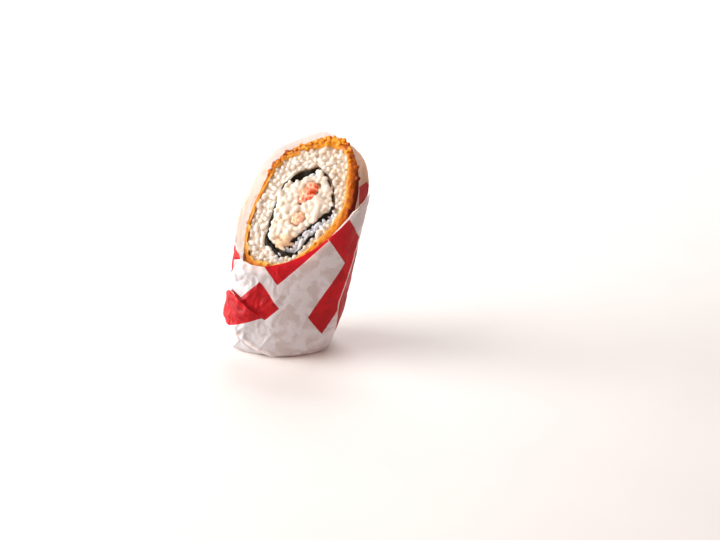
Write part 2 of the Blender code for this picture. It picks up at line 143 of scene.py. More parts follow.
# Creases: points s, z along the crease, rise, width
CREASES = (
    (((-64.5, 57.5), (-61.0, 53.0), (-57.5, 48.5)), 0.55, 1.6),
    (((-69.8, 29.1), (-61.5, 37.0), (-57.0, 43.0)), 0.5, 2.2),
    (((-61.5, 37.0), (-49.1, 29.3)), 0.35, 2.0),
    (((-24.6, 42.0), (-27.7, 30.0), (-32.0, 20.0)), 0.35, 2.4),
    (((-97.2, 21.7), (-84.0, 24.0), (-69.8, 29.1)), 0.45, 2.4),
    (((-50.0, 8.0), (-38.0, 14.0), (-24.0, 12.0)), 0.35, 2.6),
    (((-88.0, 56.0), (-80.0, 46.0)), 0.6, 2.0),
    (((-97.0, 36.0), (-90.0, 27.0), (-94.0, 20.0)), 0.8, 1.5),
    (((-90.0, 27.0), (-80.0, 22.0), (-74.0, 24.5)), 0.6, 1.4),
    (((-84.0, 34.0), (-78.0, 40.0), (-74.0, 47.0)), 0.7, 1.5),
    (((-76.0, 30.0), (-68.0, 36.0), (-60.0, 33.0)), 0.7, 1.3),
    (((-100.0, 60.0), (-92.0, 50.0), (-90.0, 42.0)), 0.7, 1.6),
    (((-76.0, 64.0), (-70.0, 56.0), (-66.0, 46.0)), 0.5, 1.5),
    (((-92.0, 2.0), (-84.0, 9.0), (-76.0, 4.0)), 0.8, 1.5),
    (((-72.0, 2.0), (-66.0, 10.0), (-60.0, 18.0)), 0.5, 1.6),
)
# Printed bars on the flat sheet: corners s, z
FRONT_BARS = (
    ((-61.8, 46.4), (-31.1, 72.8), (-46.3, 88.7), (-77.0, 62.3)),
    ((-18.6, 56.9), (-3.0, 62.5), (-27.0, 92.4), (-43.6, 89.5)),
    ((-18.6, 57.0), (-38.2, 26.2), (-27.2, 14.3), (-6.0, 47.5), (-2.9, 62.6)),
    ((-87.0, 34.4), (-74.0, 47.6), (-58.3, 32.3), (-67.5, 24.2), (-73.0, 26.8)),
    ((-112.0, 30.0), (-93.3, 38.6), (-85.8, 36.2), (-68.4, 26.0), (-91.9, 16.4), (-112.0, 15.0)),
)
BACK_BARS = (
    ((128.5, 58.2), (112.0, 64.0), (104.0, 44.0), (121.0, 38.0)),
    ((-22.0, 8.0), (-24.0, 40.0), (-4.0, 62.0), (14.0, 44.0), (8.0, 10.0)),
    ((-8.0, 70.0), (4.0, 70.0), (10.0, 82.0), (12.0, 93.0), (4.6, 98.6), (-2.0, 97.0)),
    ((30.0, 20.0), (18.0, 32.0), (48.0, 64.0), (60.0, 52.0)),
    ((62.0, 28.0), (92.0, 4.0), (101.0, 16.0), (72.0, 40.0)),
    ((60.0, 74.0), (80.0, 58.0), (89.0, 69.0), (69.0, 85.0)),
    ((84.0, 36.0), (94.0, 26.0), (106.0, 38.0), (96.0, 48.0)),
    ((110.0, 12.0), (121.0, 2.0), (136.0, 18.0), (124.0, 30.0)),
)

LIGHTS = {  # place, aim, size in metres, power in watts, colour
    "Window": ((-0.8, 0.0, 0.62), (0.0, 0.0, 0.06), 0.9, 8.6, "#FFFDFA"),
    "Ceiling panel": ((-0.3, -0.35, 1.0), (0.0, 0.0, 0.08), 1.0, 2.0, "#FFFBF6"),
    "Side panel": ((-0.92, 0.1, 0.14), (0.0, 0.0, 0.06), 0.6, 10.5, "#FFFDFB"),
    "Backdrop": ((0.15, 1.0, 0.8), (0.15, 0.85, 0.0), 1.0, 11.0, "#FFFFFF"),
    "Warm fill": ((0.2, -0.95, 0.14), (0.0, 0.0, 0.04), 0.7, 3.0, "#FFBBA8"),
}


# Noise, curves and places


def noise(points, size, seed=0):
    """Smooth noise between -1 and 1 at points, with lumps of about the given size."""
    place = np.asarray(points, dtype=float) / size + 31.7 * seed
    cell = np.floor(place).astype(np.int64)
    part = place - cell
    ease = part * part * (3.0 - 2.0 * part)
    total = np.zeros(place.shape[:-1])
    for corner in itertools.product((0, 1), repeat=3):
        at = cell + np.array(corner)
        mixed = (at[..., 0] * 374761393 + at[..., 1] * 668265263 + at[..., 2] * 1442695041) & 0xFFFFFFFF
        mixed = ((mixed ^ (mixed >> 13)) * 1274126177) & 0xFFFFFFFF
        mixed ^= mixed >> 16
        weight = np.prod(np.where(corner, ease, 1.0 - ease), axis=-1)
        total += (mixed / 2**31 - 1.0) * weight
    return total


def fractal(points, size, octaves, seed=0):
    """Noise with finer noise on it, each octave half as large and half as strong."""
    return sum(noise(points, size / 2**step, seed + step) / 2**step for step in range(octaves))


def between(a, b, c, d, part):
    """A smooth curve from b to c, with a and d as its neighbours."""
    return 0.5 * (2 * b + (c - a) * part + (2 * a - 5 * b + 4 * c - d) * part**2
                  + (3 * b - a - 3 * c + d) * part**3)


def round_value(values, angle):
    """A smooth closed curve through values spaced evenly round the section."""
    values = np.asarray(values, dtype=float)
    place = np.asarray(angle) / math.tau * len(values)
    first = np.floor(place).astype(int)
    neighbours = (values[(first + step) % len(values)] for step in (-1, 0, 1, 2))
    return between(*neighbours, place - first)


def smooth_step(value):
    """0 below 0, 1 above 1, and an eased rise between."""
    value = np.clip(value, 0.0, 1.0)
    return value * value * (3.0 - 2.0 * value)


def stacked(x, y, z):
    """Points from three coordinates of any fitting shapes."""
    return np.stack(np.broadcast_arrays(x, y, z), axis=-1)


def leaned(x, y, z):
    """Points from section coordinates and heights."""
    return stacked(x + z * LEAN, y, z).astype(float)


def section_of(points):
    """The section coordinates of points."""
    return np.stack([points[..., 0] - points[..., 2] * LEAN, points[..., 1]], axis=-1)


def cut_height(x, y):
    """The height of the slanted cut over section coordinates."""
    return CUT_HEIGHT + CUT_SLOPE_X * x + CUT_SLOPE_Y * y


ALONG_X = leaned(1.0, 0.0, CUT_SLOPE_X)
ALONG_Y = leaned(0.0, 1.0, CUT_SLOPE_Y)
CUT_NORMAL = np.cross(ALONG_X, ALONG_Y)
CUT_NORMAL /= np.linalg.norm(CUT_NORMAL)
FIRST_AXIS = ALONG_X / np.linalg.norm(ALONG_X)
SECOND_AXIS = np.cross(CUT_NORMAL, FIRST_AXIS)
CUT_MIDDLE = leaned(0.0, 0.0, CUT_HEIGHT)


def on_cut(x, y, rise=0.0):
    """Points of the cut plane over section coordinates, moved off it along its normal."""
    x, y, rise = np.broadcast_arrays(x, y, rise)
    return leaned(x, y, cut_height(x, y)) + rise[..., None] * CUT_NORMAL


def above_cut(points):
    """How far points stand off the cut plane."""
    return (np.asarray(points) - CUT_MIDDLE) @ CUT_NORMAL


def end_radius(angle, height):
    """The roll's radius, drawn in at its rounded lower end."""
    below = 1.0 - np.clip(height / END_HEIGHT, 0.0, 1.0)
    return round_value(ROLL_RADII, angle) - round_value(END_INSET, angle) * (1.0 - np.sqrt(1.0 - below**2))


def batter_inner(angle):
    """The radius at which the batter ends inside."""
    return round_value(ROLL_RADII, angle) - round_value(BATTER_THICKNESS, angle)


def near_angle(degrees, middle, reach):
    """1 at the middle of a stretch of the section, fading to both sides."""
    turn = (degrees - middle + 180.0) % 360.0 - 180.0
    return np.exp(-((turn / reach) ** 2))


def cell_angle(flat):
    """The direction of flat points from the middle of the salad's cell, in degrees."""
    return np.degrees(np.arctan2(flat[..., 1] - CELL_MIDDLE[1], flat[..., 0] - CELL_MIDDLE[0]))


def rice_edge(angle):
    """Where the rice ends against the batter at the cut: further out at the front, in at the low corner."""
    degrees = np.degrees(angle)
    return (batter_inner(angle) + 0.9 * near_angle(degrees, -95.0, 34.0)
            - 0.9 * near_angle(degrees, -143.0, 14.0))


def smooth_route(points, step):
    """Evenly spaced points of a smooth open curve through the route's points."""
    points = np.array(points, dtype=float)
    knots = np.vstack([2 * points[0] - points[1], points, 2 * points[-1] - points[-2]])
    curve = []
    for a, b, c, d in zip(knots, knots[1:], knots[2:], knots[3:]):
        for part in np.linspace(0.0, 1.0, 16, endpoint=False):
            curve.append(between(a, b, c, d, part))
    curve = np.array([*curve, points[-1]])
    along = np.concatenate([[0.0], np.cumsum(np.linalg.norm(np.diff(curve, axis=0), axis=1))])
    marks = np.linspace(0.0, along[-1], round(along[-1] / step) + 1)
    return np.stack([np.interp(marks, along, curve[:, axis]) for axis in (0, 1)], axis=1)


def sideways(route):
    """One unit to the left of a route at each of its points."""
    ahead = np.gradient(route, axis=0)
    ahead /= np.linalg.norm(ahead, axis=1)[:, None]
    return np.stack([-ahead[:, 1], ahead[:, 0]], axis=1)


def line_places(points, line):
    """Distance from a line, which side of it, and how far along it, for an array of flat points."""
    line = np.array(line, dtype=float)
    start, ahead = line[:-1], np.diff(line, axis=0)
    offset = points[..., None, :] - start
    share = np.clip((offset * ahead).sum(-1) / (ahead**2).sum(-1), 0.0, 1.0)
    away = offset - share[..., None] * ahead
    distance = np.linalg.norm(away, axis=-1)
    nearest = distance.argmin(axis=-1)[..., None]
    side = ahead[:, 0] * offset[..., 1] - ahead[:, 1] * offset[..., 0]
    lengths = np.linalg.norm(ahead, axis=1)
    along = (np.concatenate([[0.0], np.cumsum(lengths)[:-1]]) + share * lengths) / lengths.sum()
    return [np.take_along_axis(found, nearest, axis=-1)[..., 0] for found in (distance, side, along)]


def loop_distance(points, loop):
    """Distance from flat points to a closed outline, negative inside it."""
    points = np.atleast_2d(points)
    closed = np.vstack([loop, loop[:1]])
    distance = line_places(points, closed)[0]
    x1, y1 = closed[:-1].T
    x2, y2 = closed[1:].T
    px, py = points[..., 0, None], points[..., 1, None]
    across = np.where(y2 == y1, 1e-9, y2 - y1)
    crossed = ((y1 > py) != (y2 > py)) & (px < x1 + (py - y1) * (x2 - x1) / across)
    return np.where(crossed.sum(axis=-1) % 2 == 1, -distance, distance)


def grid_over(reach, step):
    """Flat places on an even grid."""
    steps = np.arange(-reach, reach, step)
    return np.stack(np.meshgrid(steps, steps), axis=-1).reshape(-1, 2)


def bar_depth(flat, bars):
    """How far inside the nearest printed bar points of the flat sheet lie; negative outside them."""
    best = np.full(flat.shape[:-1], -99.0)
    for bar in bars:
        corners = np.array(bar, dtype=float)
        ahead = np.roll(corners, -1, axis=0) - corners
        x, y = corners.T
        if np.sum(x * np.roll(y, -1) - y * np.roll(x, -1)) < 0:
            ahead = -ahead
        inward = np.stack([-ahead[:, 1], ahead[:, 0]], axis=1) / np.linalg.norm(ahead, axis=1)[:, None]
        best = np.maximum(best, ((flat[..., None, :] - corners) * inward).sum(-1).min(-1))
    return best


# Meshes


def piece(name, points, faces, look, values=None):
    """A smooth mesh piece in metres; values are kept on its points for its material."""
    mesh = bpy.data.meshes.new(name)
    mesh.from_pydata((np.asarray(points).reshape(-1, 3) * MM).tolist(), [], faces)
    for key, value in (values or {}).items():
        mesh.attributes.new(key, "FLOAT", "POINT").data.foreach_set("value", np.ravel(value))
    mesh.materials.append(look)
    mesh.shade_smooth()
    made = bpy.data.objects.new(name, mesh)
    bpy.context.scene.collection.objects.link(made)
    return made


def mesh_points(thing):
    """The piece's points in millimetres."""
    found = np.empty(len(thing.data.vertices) * 3)
    thing.data.vertices.foreach_get("co", found)
    return found.reshape(-1, 3) / MM


def move_points(thing, points):
    """Put the piece's points at places in millimetres."""
    thing.data.vertices.foreach_set("co", np.ravel(points * MM))
    thing.data.update()


def mesh_normals(thing):
    """The piece's normals, one at each point."""
    found = np.empty(len(thing.data.vertices) * 3)
    thing.data.vertex_normals.foreach_get("vector", found)
    return found.reshape(-1, 3)


def keep_value(thing, key, value):
    """Keep a number on every point for the material to read."""
    thing.data.attributes.new(key, "FLOAT", "POINT").data.foreach_set("value", np.ravel(value))


def grid_faces(rows, columns, closed=False, start=0, flip=False):
    """Quads over points kept row by row upwards and anticlockwise, facing outwards."""
    first = np.arange(columns if closed else columns - 1)
    second = (first + 1) % columns
    row = np.arange(rows - 1)[:, None] * columns + start
    quads = np.stack([row + first, row + second, row + columns + second, row + columns + first], axis=-1)
    quads = quads.reshape(-1, 4)
    return (quads[:, ::-1] if flip else quads).tolist()


def sheet_faces(rows, columns, closed):
    """The faces of a thin sheet with two sides and an edge: outer points first, then inner ones."""
    count = rows * columns
    index = np.arange(count).reshape(rows, columns)
    loops = [index[0], index[:, -1], index[-1, ::-1], index[::-1, 0]]
    if closed:
        loops = [np.append(index[0], index[0, 0]), np.append(index[-1, :1], index[-1, ::-1])]
    faces = grid_faces(rows, columns, closed) + grid_faces(rows, columns, closed, count, True)
    for loop in loops:
        a, b = loop[:-1], loop[1:]
        faces += np.stack([b, a, a + count, b + count], axis=1).tolist()
    return faces


def ring_body(name, rings, look, values=None):
    """A closed body through rings that run up its outside and down its inside, capped at both ends."""
    rings = np.asarray(rings)
    rows, columns = rings.shape[:2]
    ends = np.stack([rings[0].mean(axis=0), rings[-1].mean(axis=0)])
    faces = grid_faces(rows, columns, True)
    count = rows * columns
    for step in range(columns):
        after = (step + 1) % columns
        faces.append([count, after, step])
        faces.append([count + 1, count - columns + step, count - columns + after])
    extra = {key: np.append(np.ravel(value), [0.0, 0.0]) for key, value in (values or {}).items()}
    return piece(name, np.vstack([rings.reshape(-1, 3), ends]), faces, look, extra)


def filled(outline, holes, inner=()):
    """Triangles over an outline less its holes, with extra points inside."""
    points = []
    faces = []
    for loop in (outline, *holes):
        faces.append(list(range(len(points), len(points) + len(loop))))
        points.extend(map(tuple, loop))
    points.extend(map(tuple, inner))
    verts, _, triangles, _, _, sources = delaunay_2d_cdt(points, [], faces, 1, 1e-5)
    kept = [tuple(face) for face, source in zip(triangles, sources) if source == [0]]
    return np.array([tuple(vert) for vert in verts]), kept


def column(triangles, low, high):
    """Points and faces of a body that carries filled triangles from low to high points."""
    used = sorted({corner for face in triangles for corner in face})
    place = {corner: step for step, corner in enumerate(used)}
    low, high = low[used], high[used]
    count = len(used)
    triangles = [tuple(place[corner] for corner in face) for face in triangles]
    faces = [list(face[::-1]) for face in triangles]
    faces += [[corner + count for corner in face] for face in triangles]
    sides = {(face[step], face[(step + 1) % 3]) for face in triangles for step in range(3)}
    faces += [[a, b, b + count, a + count] for a, b in sorted(sides) if (b, a) not in sides]
    return np.vstack([low, high]), faces


def joined(*bodies):
    """One list of points and one of faces out of several."""
    points, faces, count = [], [], 0
    for body_points, body_faces in bodies:
        points.append(body_points)
        faces += [[corner + count for corner in face] for face in body_faces]
        count += len(body_points)
    return np.vstack(points), faces


def lump_ball():
    """A ball of 80 triangles, from a twice divided icosahedron."""
    ball = bmesh.new()
    bmesh.ops.create_icosphere(ball, subdivisions=2, radius=1.0)
    points = np.array([tuple(vert.co) for vert in ball.verts])
    faces = [[vert.index for vert in face.verts] for face in ball.faces]
    ball.free()
    return points, faces


def lumps(middles, sizes, axes):
    """Balls stretched along their own axes: middles (n, 3), sizes (n, 3), axes (n, 3, 3) by rows."""
    ball, ball_faces = lump_ball()
    placed = np.einsum("vk,nk,nkd->nvd", ball, sizes, axes) + middles[:, None, :]
    faces = [[corner + len(ball) * step for corner in face]
             for step in range(len(middles)) for face in ball_faces]
    return placed.reshape(-1, 3), faces


def parts_of(thing):
    """The piece's points and faces."""
    return mesh_points(thing), [list(face.vertices) for face in thing.data.polygons]


def fused(name, bodies, voxel, look, soften=0):
    """Overlapping closed bodies melted into one skin, and smoothed a little."""
    points, faces = joined(*bodies)
    rough = piece(name, points, faces, look)
    melt = rough.modifiers.new("melt", "REMESH")
    melt.mode = "VOXEL"
    melt.voxel_size = voxel * MM
    if soften:
        calm = rough.modifiers.new("calm", "SMOOTH")
        calm.iterations = soften
    return settle(rough, look)


def roughen(thing, rise, size, octaves, seed):
    """Move a piece's points in and out by noise, and give them back."""
    points = mesh_points(thing)
    points = points + mesh_normals(thing) * (rise * fractal(points, size, octaves, seed))[:, None]
    move_points(thing, points)
    return points


def settle(thing, look):
    """Turn what the modifiers make into the piece's own plain mesh."""
    bpy.context.view_layer.update()
    graph = bpy.context.evaluated_depsgraph_get()
    mesh = bpy.data.meshes.new_from_object(thing.evaluated_get(graph))
    thing.modifiers.clear()
    old = thing.data
    thing.data = mesh
    bpy.data.meshes.remove(old)
    mesh.materials.clear()
    mesh.materials.append(look)
    mesh.shade_smooth()
    return thing


# Materials


def linear(hex_colour):
    """The linear colour of an sRGB hex value."""
    parts = [int(hex_colour[place: place + 2], 16) / 255 for place in (1, 3, 5)]
    return (*[part / 12.92 if part <= 0.04045 else ((part + 0.055) / 1.055) ** 2.4 for part in parts], 1.0)


def add(tree, kind, links=None, **settings):
    """Add a node: settings are its own, and links gives each input a value or an output to join."""
    made = tree.nodes.new(kind)
    for key, value in settings.items():
        setattr(made, key, value)
    for key, value in (links or {}).items():
        if isinstance(value, bpy.types.NodeSocket):
            tree.links.new(value, made.inputs[key])
        else:
            made.inputs[key].default_value = value
    return made


def start_look(name, **surface):
    """A material with a Principled shader, its plain settings, and object coordinates in millimetres."""
    look = bpy.data.materials.new(name)
    look.use_nodes = True
    tree = look.node_tree
    shader = tree.nodes["Principled BSDF"]
    for key, value in surface.items():
        shader.inputs[key.replace("_", " ")].default_value = value
    place = add(tree, "ShaderNodeTexCoord").outputs["Object"]
    scaled = add(tree, "ShaderNodeVectorMath", {0: place, "Scale": 1 / MM}, operation="SCALE")
    return look, tree, shader, scaled.outputs["Vector"]


def finish_look(tree, shader, **outputs):
    """Join outputs to the shader's inputs."""
    for key, output in outputs.items():
        tree.links.new(output, shader.inputs[key.replace("_", " ")])


def paper_look():
    """Waxed sandwich paper, printed one side: off-white, cloudy where the wax lies thicker, softly shiny,
    letting a little light through. Inside it is painted whiter, standing in for light shining through; it is
    brown in blots where fat soaked in, and brown as painted shade with warm bounce inside the collar at the
    right; and the ink is duller."""
    look, tree, shader, place = start_look(
        "Waxed printed paper", Roughness=0.4, IOR=1.45, Specular_IOR_Level=0.25, Subsurface_Weight=0.6,
        Subsurface_Radius=(0.0022, 0.0016, 0.0013), Subsurface_Scale=1.0)
    cloud = add(tree, "ShaderNodeTexNoise", {"Vector": place, "Scale": 1 / 9.0, "Detail": 3.0,
                                             "Distortion": 0.6})
    fibre = add(tree, "ShaderNodeTexNoise", {"Vector": place, "Scale": 1 / 0.9, "Detail": 3.0})
    mottle = add(tree, "ShaderNodeMapRange", {0: cloud.outputs["Fac"], 1: 0.44, 2: 0.58})
    white = add(tree, "ShaderNodeMix", {0: mottle.outputs[0], 6: linear("#F3E9E7"), 7: linear("#DCC9C4")},
                data_type="RGBA")
    edge = add(tree, "ShaderNodeAttribute", attribute_name="print_depth")
    wobble = add(tree, "ShaderNodeMath", {0: fibre.outputs["Fac"], 1: 0.5, 2: edge.outputs["Fac"]},
                 operation="MULTIPLY_ADD")
    ink = add(tree, "ShaderNodeMapRange", {0: wobble.outputs[0], 1: 0.1, 2: 0.4})
    red = add(tree, "ShaderNodeMix", {0: mottle.outputs[0], 6: linear("#CA0010"), 7: linear("#B0000C")},
              data_type="RGBA")
    inside = add(tree, "ShaderNodeAttribute", attribute_name="inside")
    dull = add(tree, "ShaderNodeMix", {0: inside.outputs["Fac"], 6: red.outputs[2], 7: linear("#981820")},
               data_type="RGBA")
    # Brown on the inside face: real blots of soaked-in fat below the rim, and painted shade with warm bounce
    # inside the collar at the right
    oil_and_painted_shade = add(tree, "ShaderNodeAttribute", attribute_name="oil_and_painted_shade")
    # The inside face is painted whiter: a painted glow standing in for light shining through the sheet
    lit = add(tree, "ShaderNodeMix", {0: inside.outputs["Fac"], 6: white.outputs[2], 7: linear("#FDF9F8")},
              data_type="RGBA")
    oiled_and_shaded = add(tree, "ShaderNodeMix", {0: oil_and_painted_shade.outputs["Fac"], 6: lit.outputs[2], 7: linear("#CC9078")},
                data_type="RGBA")
    colour = add(tree, "ShaderNodeMix", {0: ink.outputs[0], 6: oiled_and_shaded.outputs[2], 7: dull.outputs[2]},
                 data_type="RGBA")
    shine = add(tree, "ShaderNodeMapRange", {0: cloud.outputs["Fac"], 1: 0.3, 2: 0.7, 3: 0.42, 4: 0.6})
    bump = add(tree, "ShaderNodeBump", {"Height": fibre.outputs["Fac"], "Strength": 0.25, "Distance": 0.0003})
    finish_look(tree, shader, Base_Color=colour.outputs[2], Roughness=shine.outputs[0],
                Normal=bump.outputs[0])
    return look


def batter_look():
    """Deep-fried tempura batter: amber and glassy with frying fat on the wall, gold at the crumbs, toasted in
    spots, darker to the right and down the wall as painted shade, paler at the crumb tips as painted
    highlight, with fine blisters."""
    look, tree, shader, place = start_look(
        "Fried batter", Roughness=0.42, IOR=1.46, Specular_IOR_Level=0.18, Coat_Weight=0.05,
        Coat_Roughness=0.18, Subsurface_Weight=0.25, Subsurface_Radius=(0.0022, 0.0011, 0.0004),
        Subsurface_Scale=1.0)
    patch = add(tree, "ShaderNodeTexNoise", {"Vector": place, "Scale": 1 / 4.0, "Detail": 5.0,
                                             "Roughness": 0.6})
    blister = add(tree, "ShaderNodeTexNoise", {"Vector": place, "Scale": 1 / 0.9, "Detail": 4.0})
    # This attribute holds real toasting plus painted shade to the right and down the wall, and painted
    # highlights on crumb tips
    toast_and_painted_light = add(tree, "ShaderNodeAttribute", attribute_name="toast_and_painted_light")
    brown = add(tree, "ShaderNodeMath", {0: patch.outputs["Fac"], 1: 0.9, 2: toast_and_painted_light.outputs["Fac"]},
                operation="MULTIPLY_ADD")
    gold = add(tree, "ShaderNodeMapRange", {0: brown.outputs[0], 1: 0.4, 2: 0.75})
    deep = add(tree, "ShaderNodeMapRange", {0: brown.outputs[0], 1: 0.75, 2: 1.35})
    amber = add(tree, "ShaderNodeMix", {0: gold.outputs[0], 6: linear("#E49A22"), 7: linear("#BE6000")},
                data_type="RGBA")
    dark = add(tree, "ShaderNodeMix", {0: deep.outputs[0], 6: amber.outputs[2], 7: linear("#641200")},
               data_type="RGBA")
    pale = add(tree, "ShaderNodeAttribute", attribute_name="pale")
    colour = add(tree, "ShaderNodeMix", {0: pale.outputs["Fac"], 6: dark.outputs[2], 7: linear("#EDB056")},
                 data_type="RGBA")
    rough = add(tree, "ShaderNodeMapRange", {0: blister.outputs["Fac"], 1: 0.3, 2: 0.7, 3: 0.34, 4: 0.56})
    bump = add(tree, "ShaderNodeBump", {"Height": blister.outputs["Fac"], "Strength": 0.6,
                                        "Distance": 0.0006})
    finish_look(tree, shader, Base_Color=colour.outputs[2], Roughness=rough.outputs[0],
                Normal=bump.outputs[0])
    return look


def rice_look():
    """Cooked short-grain rice: translucent, glistening with starch, painted warmer in the gaps between grains
    and deeper down as shade, stained near the crust, and painted grey as shade under the sheet's tail.
    """
    look, tree, shader, place = start_look(
        "Cooked rice", Roughness=0.4, IOR=1.4, Specular_IOR_Level=0.22, Coat_Weight=0.06, Coat_Roughness=0.2,
        Subsurface_Weight=1.0, Subsurface_Radius=(0.0062, 0.0056, 0.0046), Subsurface_Scale=1.0)
    grain = add(tree, "ShaderNodeAttribute", attribute_name="tint")
    stain_and_painted_shade = add(tree, "ShaderNodeAttribute", attribute_name="stain_and_painted_shade")
    shaded_strip = add(tree, "ShaderNodeAttribute", attribute_name="shaded_strip")
    soft = add(tree, "ShaderNodeTexNoise", {"Vector": place, "Scale": 1 / 1.6, "Detail": 3.0})
    base = add(tree, "ShaderNodeMix", {0: grain.outputs["Fac"], 6: linear("#DFDBD4"), 7: linear("#D7D1C8")},
               data_type="RGBA")
    # Warm tan: painted shade in the gaps and at depth, plus real stain near the crust
    gap = add(tree, "ShaderNodeMix", {0: stain_and_painted_shade.outputs["Fac"], 6: base.outputs[2], 7: linear("#D9BE9B")},
              data_type="RGBA")
    # Painted grey shade on the strip under the sheet's tail and on the stray grain in the hollow
    grey = add(tree, "ShaderNodeMix", {0: shaded_strip.outputs["Fac"], 6: gap.outputs[2], 7: linear("#D3D6D9")},
               data_type="RGBA")
    rough = add(tree, "ShaderNodeMapRange", {0: soft.outputs["Fac"], 1: 0.3, 2: 0.7, 3: 0.35, 4: 0.55})
    bump = add(tree, "ShaderNodeBump", {"Height": soft.outputs["Fac"], "Strength": 0.15, "Distance": 0.0004})
    finish_look(tree, shader, Base_Color=grey.outputs[2], Roughness=rough.outputs[0],
                Normal=bump.outputs[0])
    return look


def nori_look():
    """Toasted seaweed sheet, damp from the rice: near black with a green-brown cast and a broken shine."""
    look, tree, shader, place = start_look("Damp nori", Roughness=0.5, IOR=1.35, Specular_IOR_Level=0.25)
    grain = add(tree, "ShaderNodeTexNoise", {"Vector": place, "Scale": 1 / 0.8, "Detail": 5.0})
    colour = add(tree, "ShaderNodeMix", {0: grain.outputs["Fac"], 6: linear("#0A0803"), 7: linear("#251C0D")},
                 data_type="RGBA")
    rough = add(tree, "ShaderNodeMapRange", {0: grain.outputs["Fac"], 1: 0.3, 2: 0.7, 3: 0.4, 4: 0.75})
    bump = add(tree, "ShaderNodeBump", {"Height": grain.outputs["Fac"], "Strength": 0.8, "Distance": 0.0006})
    finish_look(tree, shader, Base_Color=colour.outputs[2], Roughness=rough.outputs[0],
                Normal=bump.outputs[0])
    return look


def cream_look():
    """Shredded salad in mayonnaise: ivory, wet and soft, painted yellower where it lies deep as shade,
    and stained at the tongue's end.
    """
    look, tree, shader, place = start_look(
        "Creamy salad", Roughness=0.4, IOR=1.45, Specular_IOR_Level=0.3, Coat_Weight=0.1, Coat_Roughness=0.15,
        Subsurface_Weight=0.75, Subsurface_Radius=(0.003, 0.0024, 0.0017), Subsurface_Scale=1.0)
    soft = add(tree, "ShaderNodeTexNoise", {"Vector": place, "Scale": 1 / 2.5, "Detail": 4.0})
    fine = add(tree, "ShaderNodeTexNoise", {"Vector": place, "Scale": 1 / 0.7, "Detail": 3.0})
    stain_and_painted_shade = add(tree, "ShaderNodeAttribute", attribute_name="stain_and_painted_shade")
    patch = add(tree, "ShaderNodeMapRange", {0: soft.outputs["Fac"], 1: 0.42, 2: 0.66})
    base = add(tree, "ShaderNodeMix", {0: patch.outputs[0], 6: linear("#DFD8CC"), 7: linear("#D9CCB8")},
               data_type="RGBA")
    # Painted shade where the salad lies deep, with the real stain at the tongue
    colour = add(tree, "ShaderNodeMix", {0: stain_and_painted_shade.outputs["Fac"], 6: base.outputs[2], 7: linear("#D6AE82")},
                 data_type="RGBA")
    bump = add(tree, "ShaderNodeBump", {"Height": fine.outputs["Fac"], "Strength": 0.3, "Distance": 0.0004})
    finish_look(tree, shader, Base_Color=colour.outputs[2], Normal=bump.outputs[0])
    return look


def crab_look(name, flesh, deep):
    """Crab-flavoured fish sticks in section: pink flesh, paler fibres between, deeper orange skins."""
    look, tree, shader, place = start_look(
        name, Roughness=0.34, IOR=1.42, Specular_IOR_Level=0.3, Coat_Weight=0.15, Coat_Roughness=0.15,
        Subsurface_Weight=0.4, Subsurface_Radius=(0.002, 0.001, 0.0007), Subsurface_Scale=1.0)
    bend = add(tree, "ShaderNodeTexNoise", {"Vector": place, "Scale": 1 / 3.0, "Detail": 3.0})
    moved = add(tree, "ShaderNodeVectorMath", {0: bend.outputs["Color"], "Scale": 2.4}, operation="SCALE")
    spot = add(tree, "ShaderNodeVectorMath", {0: place, 1: moved.outputs[0]}, operation="ADD")
    veins = add(tree, "ShaderNodeTexVoronoi", {"Vector": spot.outputs[0], "Scale": 1 / 4.6},
                feature="DISTANCE_TO_EDGE")
    vein = add(tree, "ShaderNodeMapRange", {0: veins.outputs["Distance"], 1: 0.0, 2: 0.13})
    blush = add(tree, "ShaderNodeAttribute", attribute_name="blush")
    body = add(tree, "ShaderNodeMix", {0: blush.outputs["Fac"], 6: linear(flesh), 7: linear(deep)},
               data_type="RGBA")
    colour = add(tree, "ShaderNodeMix", {0: vein.outputs[0], 6: linear("#F4BFA2"), 7: body.outputs[2]},
                 data_type="RGBA")
    bump = add(tree, "ShaderNodeBump", {"Height": vein.outputs[0], "Strength": 0.25, "Distance": 0.0004})
    finish_look(tree, shader, Base_Color=colour.outputs[2], Normal=bump.outputs[0])
    return look


# Geometry Nodes


def start_tree(name, sizes, objects=()):
    """A node group that takes a mesh, named sizes and named objects, and gives a mesh."""
    tree = bpy.data.node_groups.new(name, "GeometryNodeTree")
    tree.interface.new_socket("Geometry", in_out="INPUT", socket_type="NodeSocketGeometry")
    tree.interface.new_socket("Geometry", in_out="OUTPUT", socket_type="NodeSocketGeometry")
    for key, value in sizes.items():
        made = tree.interface.new_socket(key, in_out="INPUT", socket_type="NodeSocketFloat")
        made.default_value = value
    for key in objects:
        tree.interface.new_socket(key, in_out="INPUT", socket_type="NodeSocketObject")
    return tree, add(tree, "NodeGroupInput").outputs


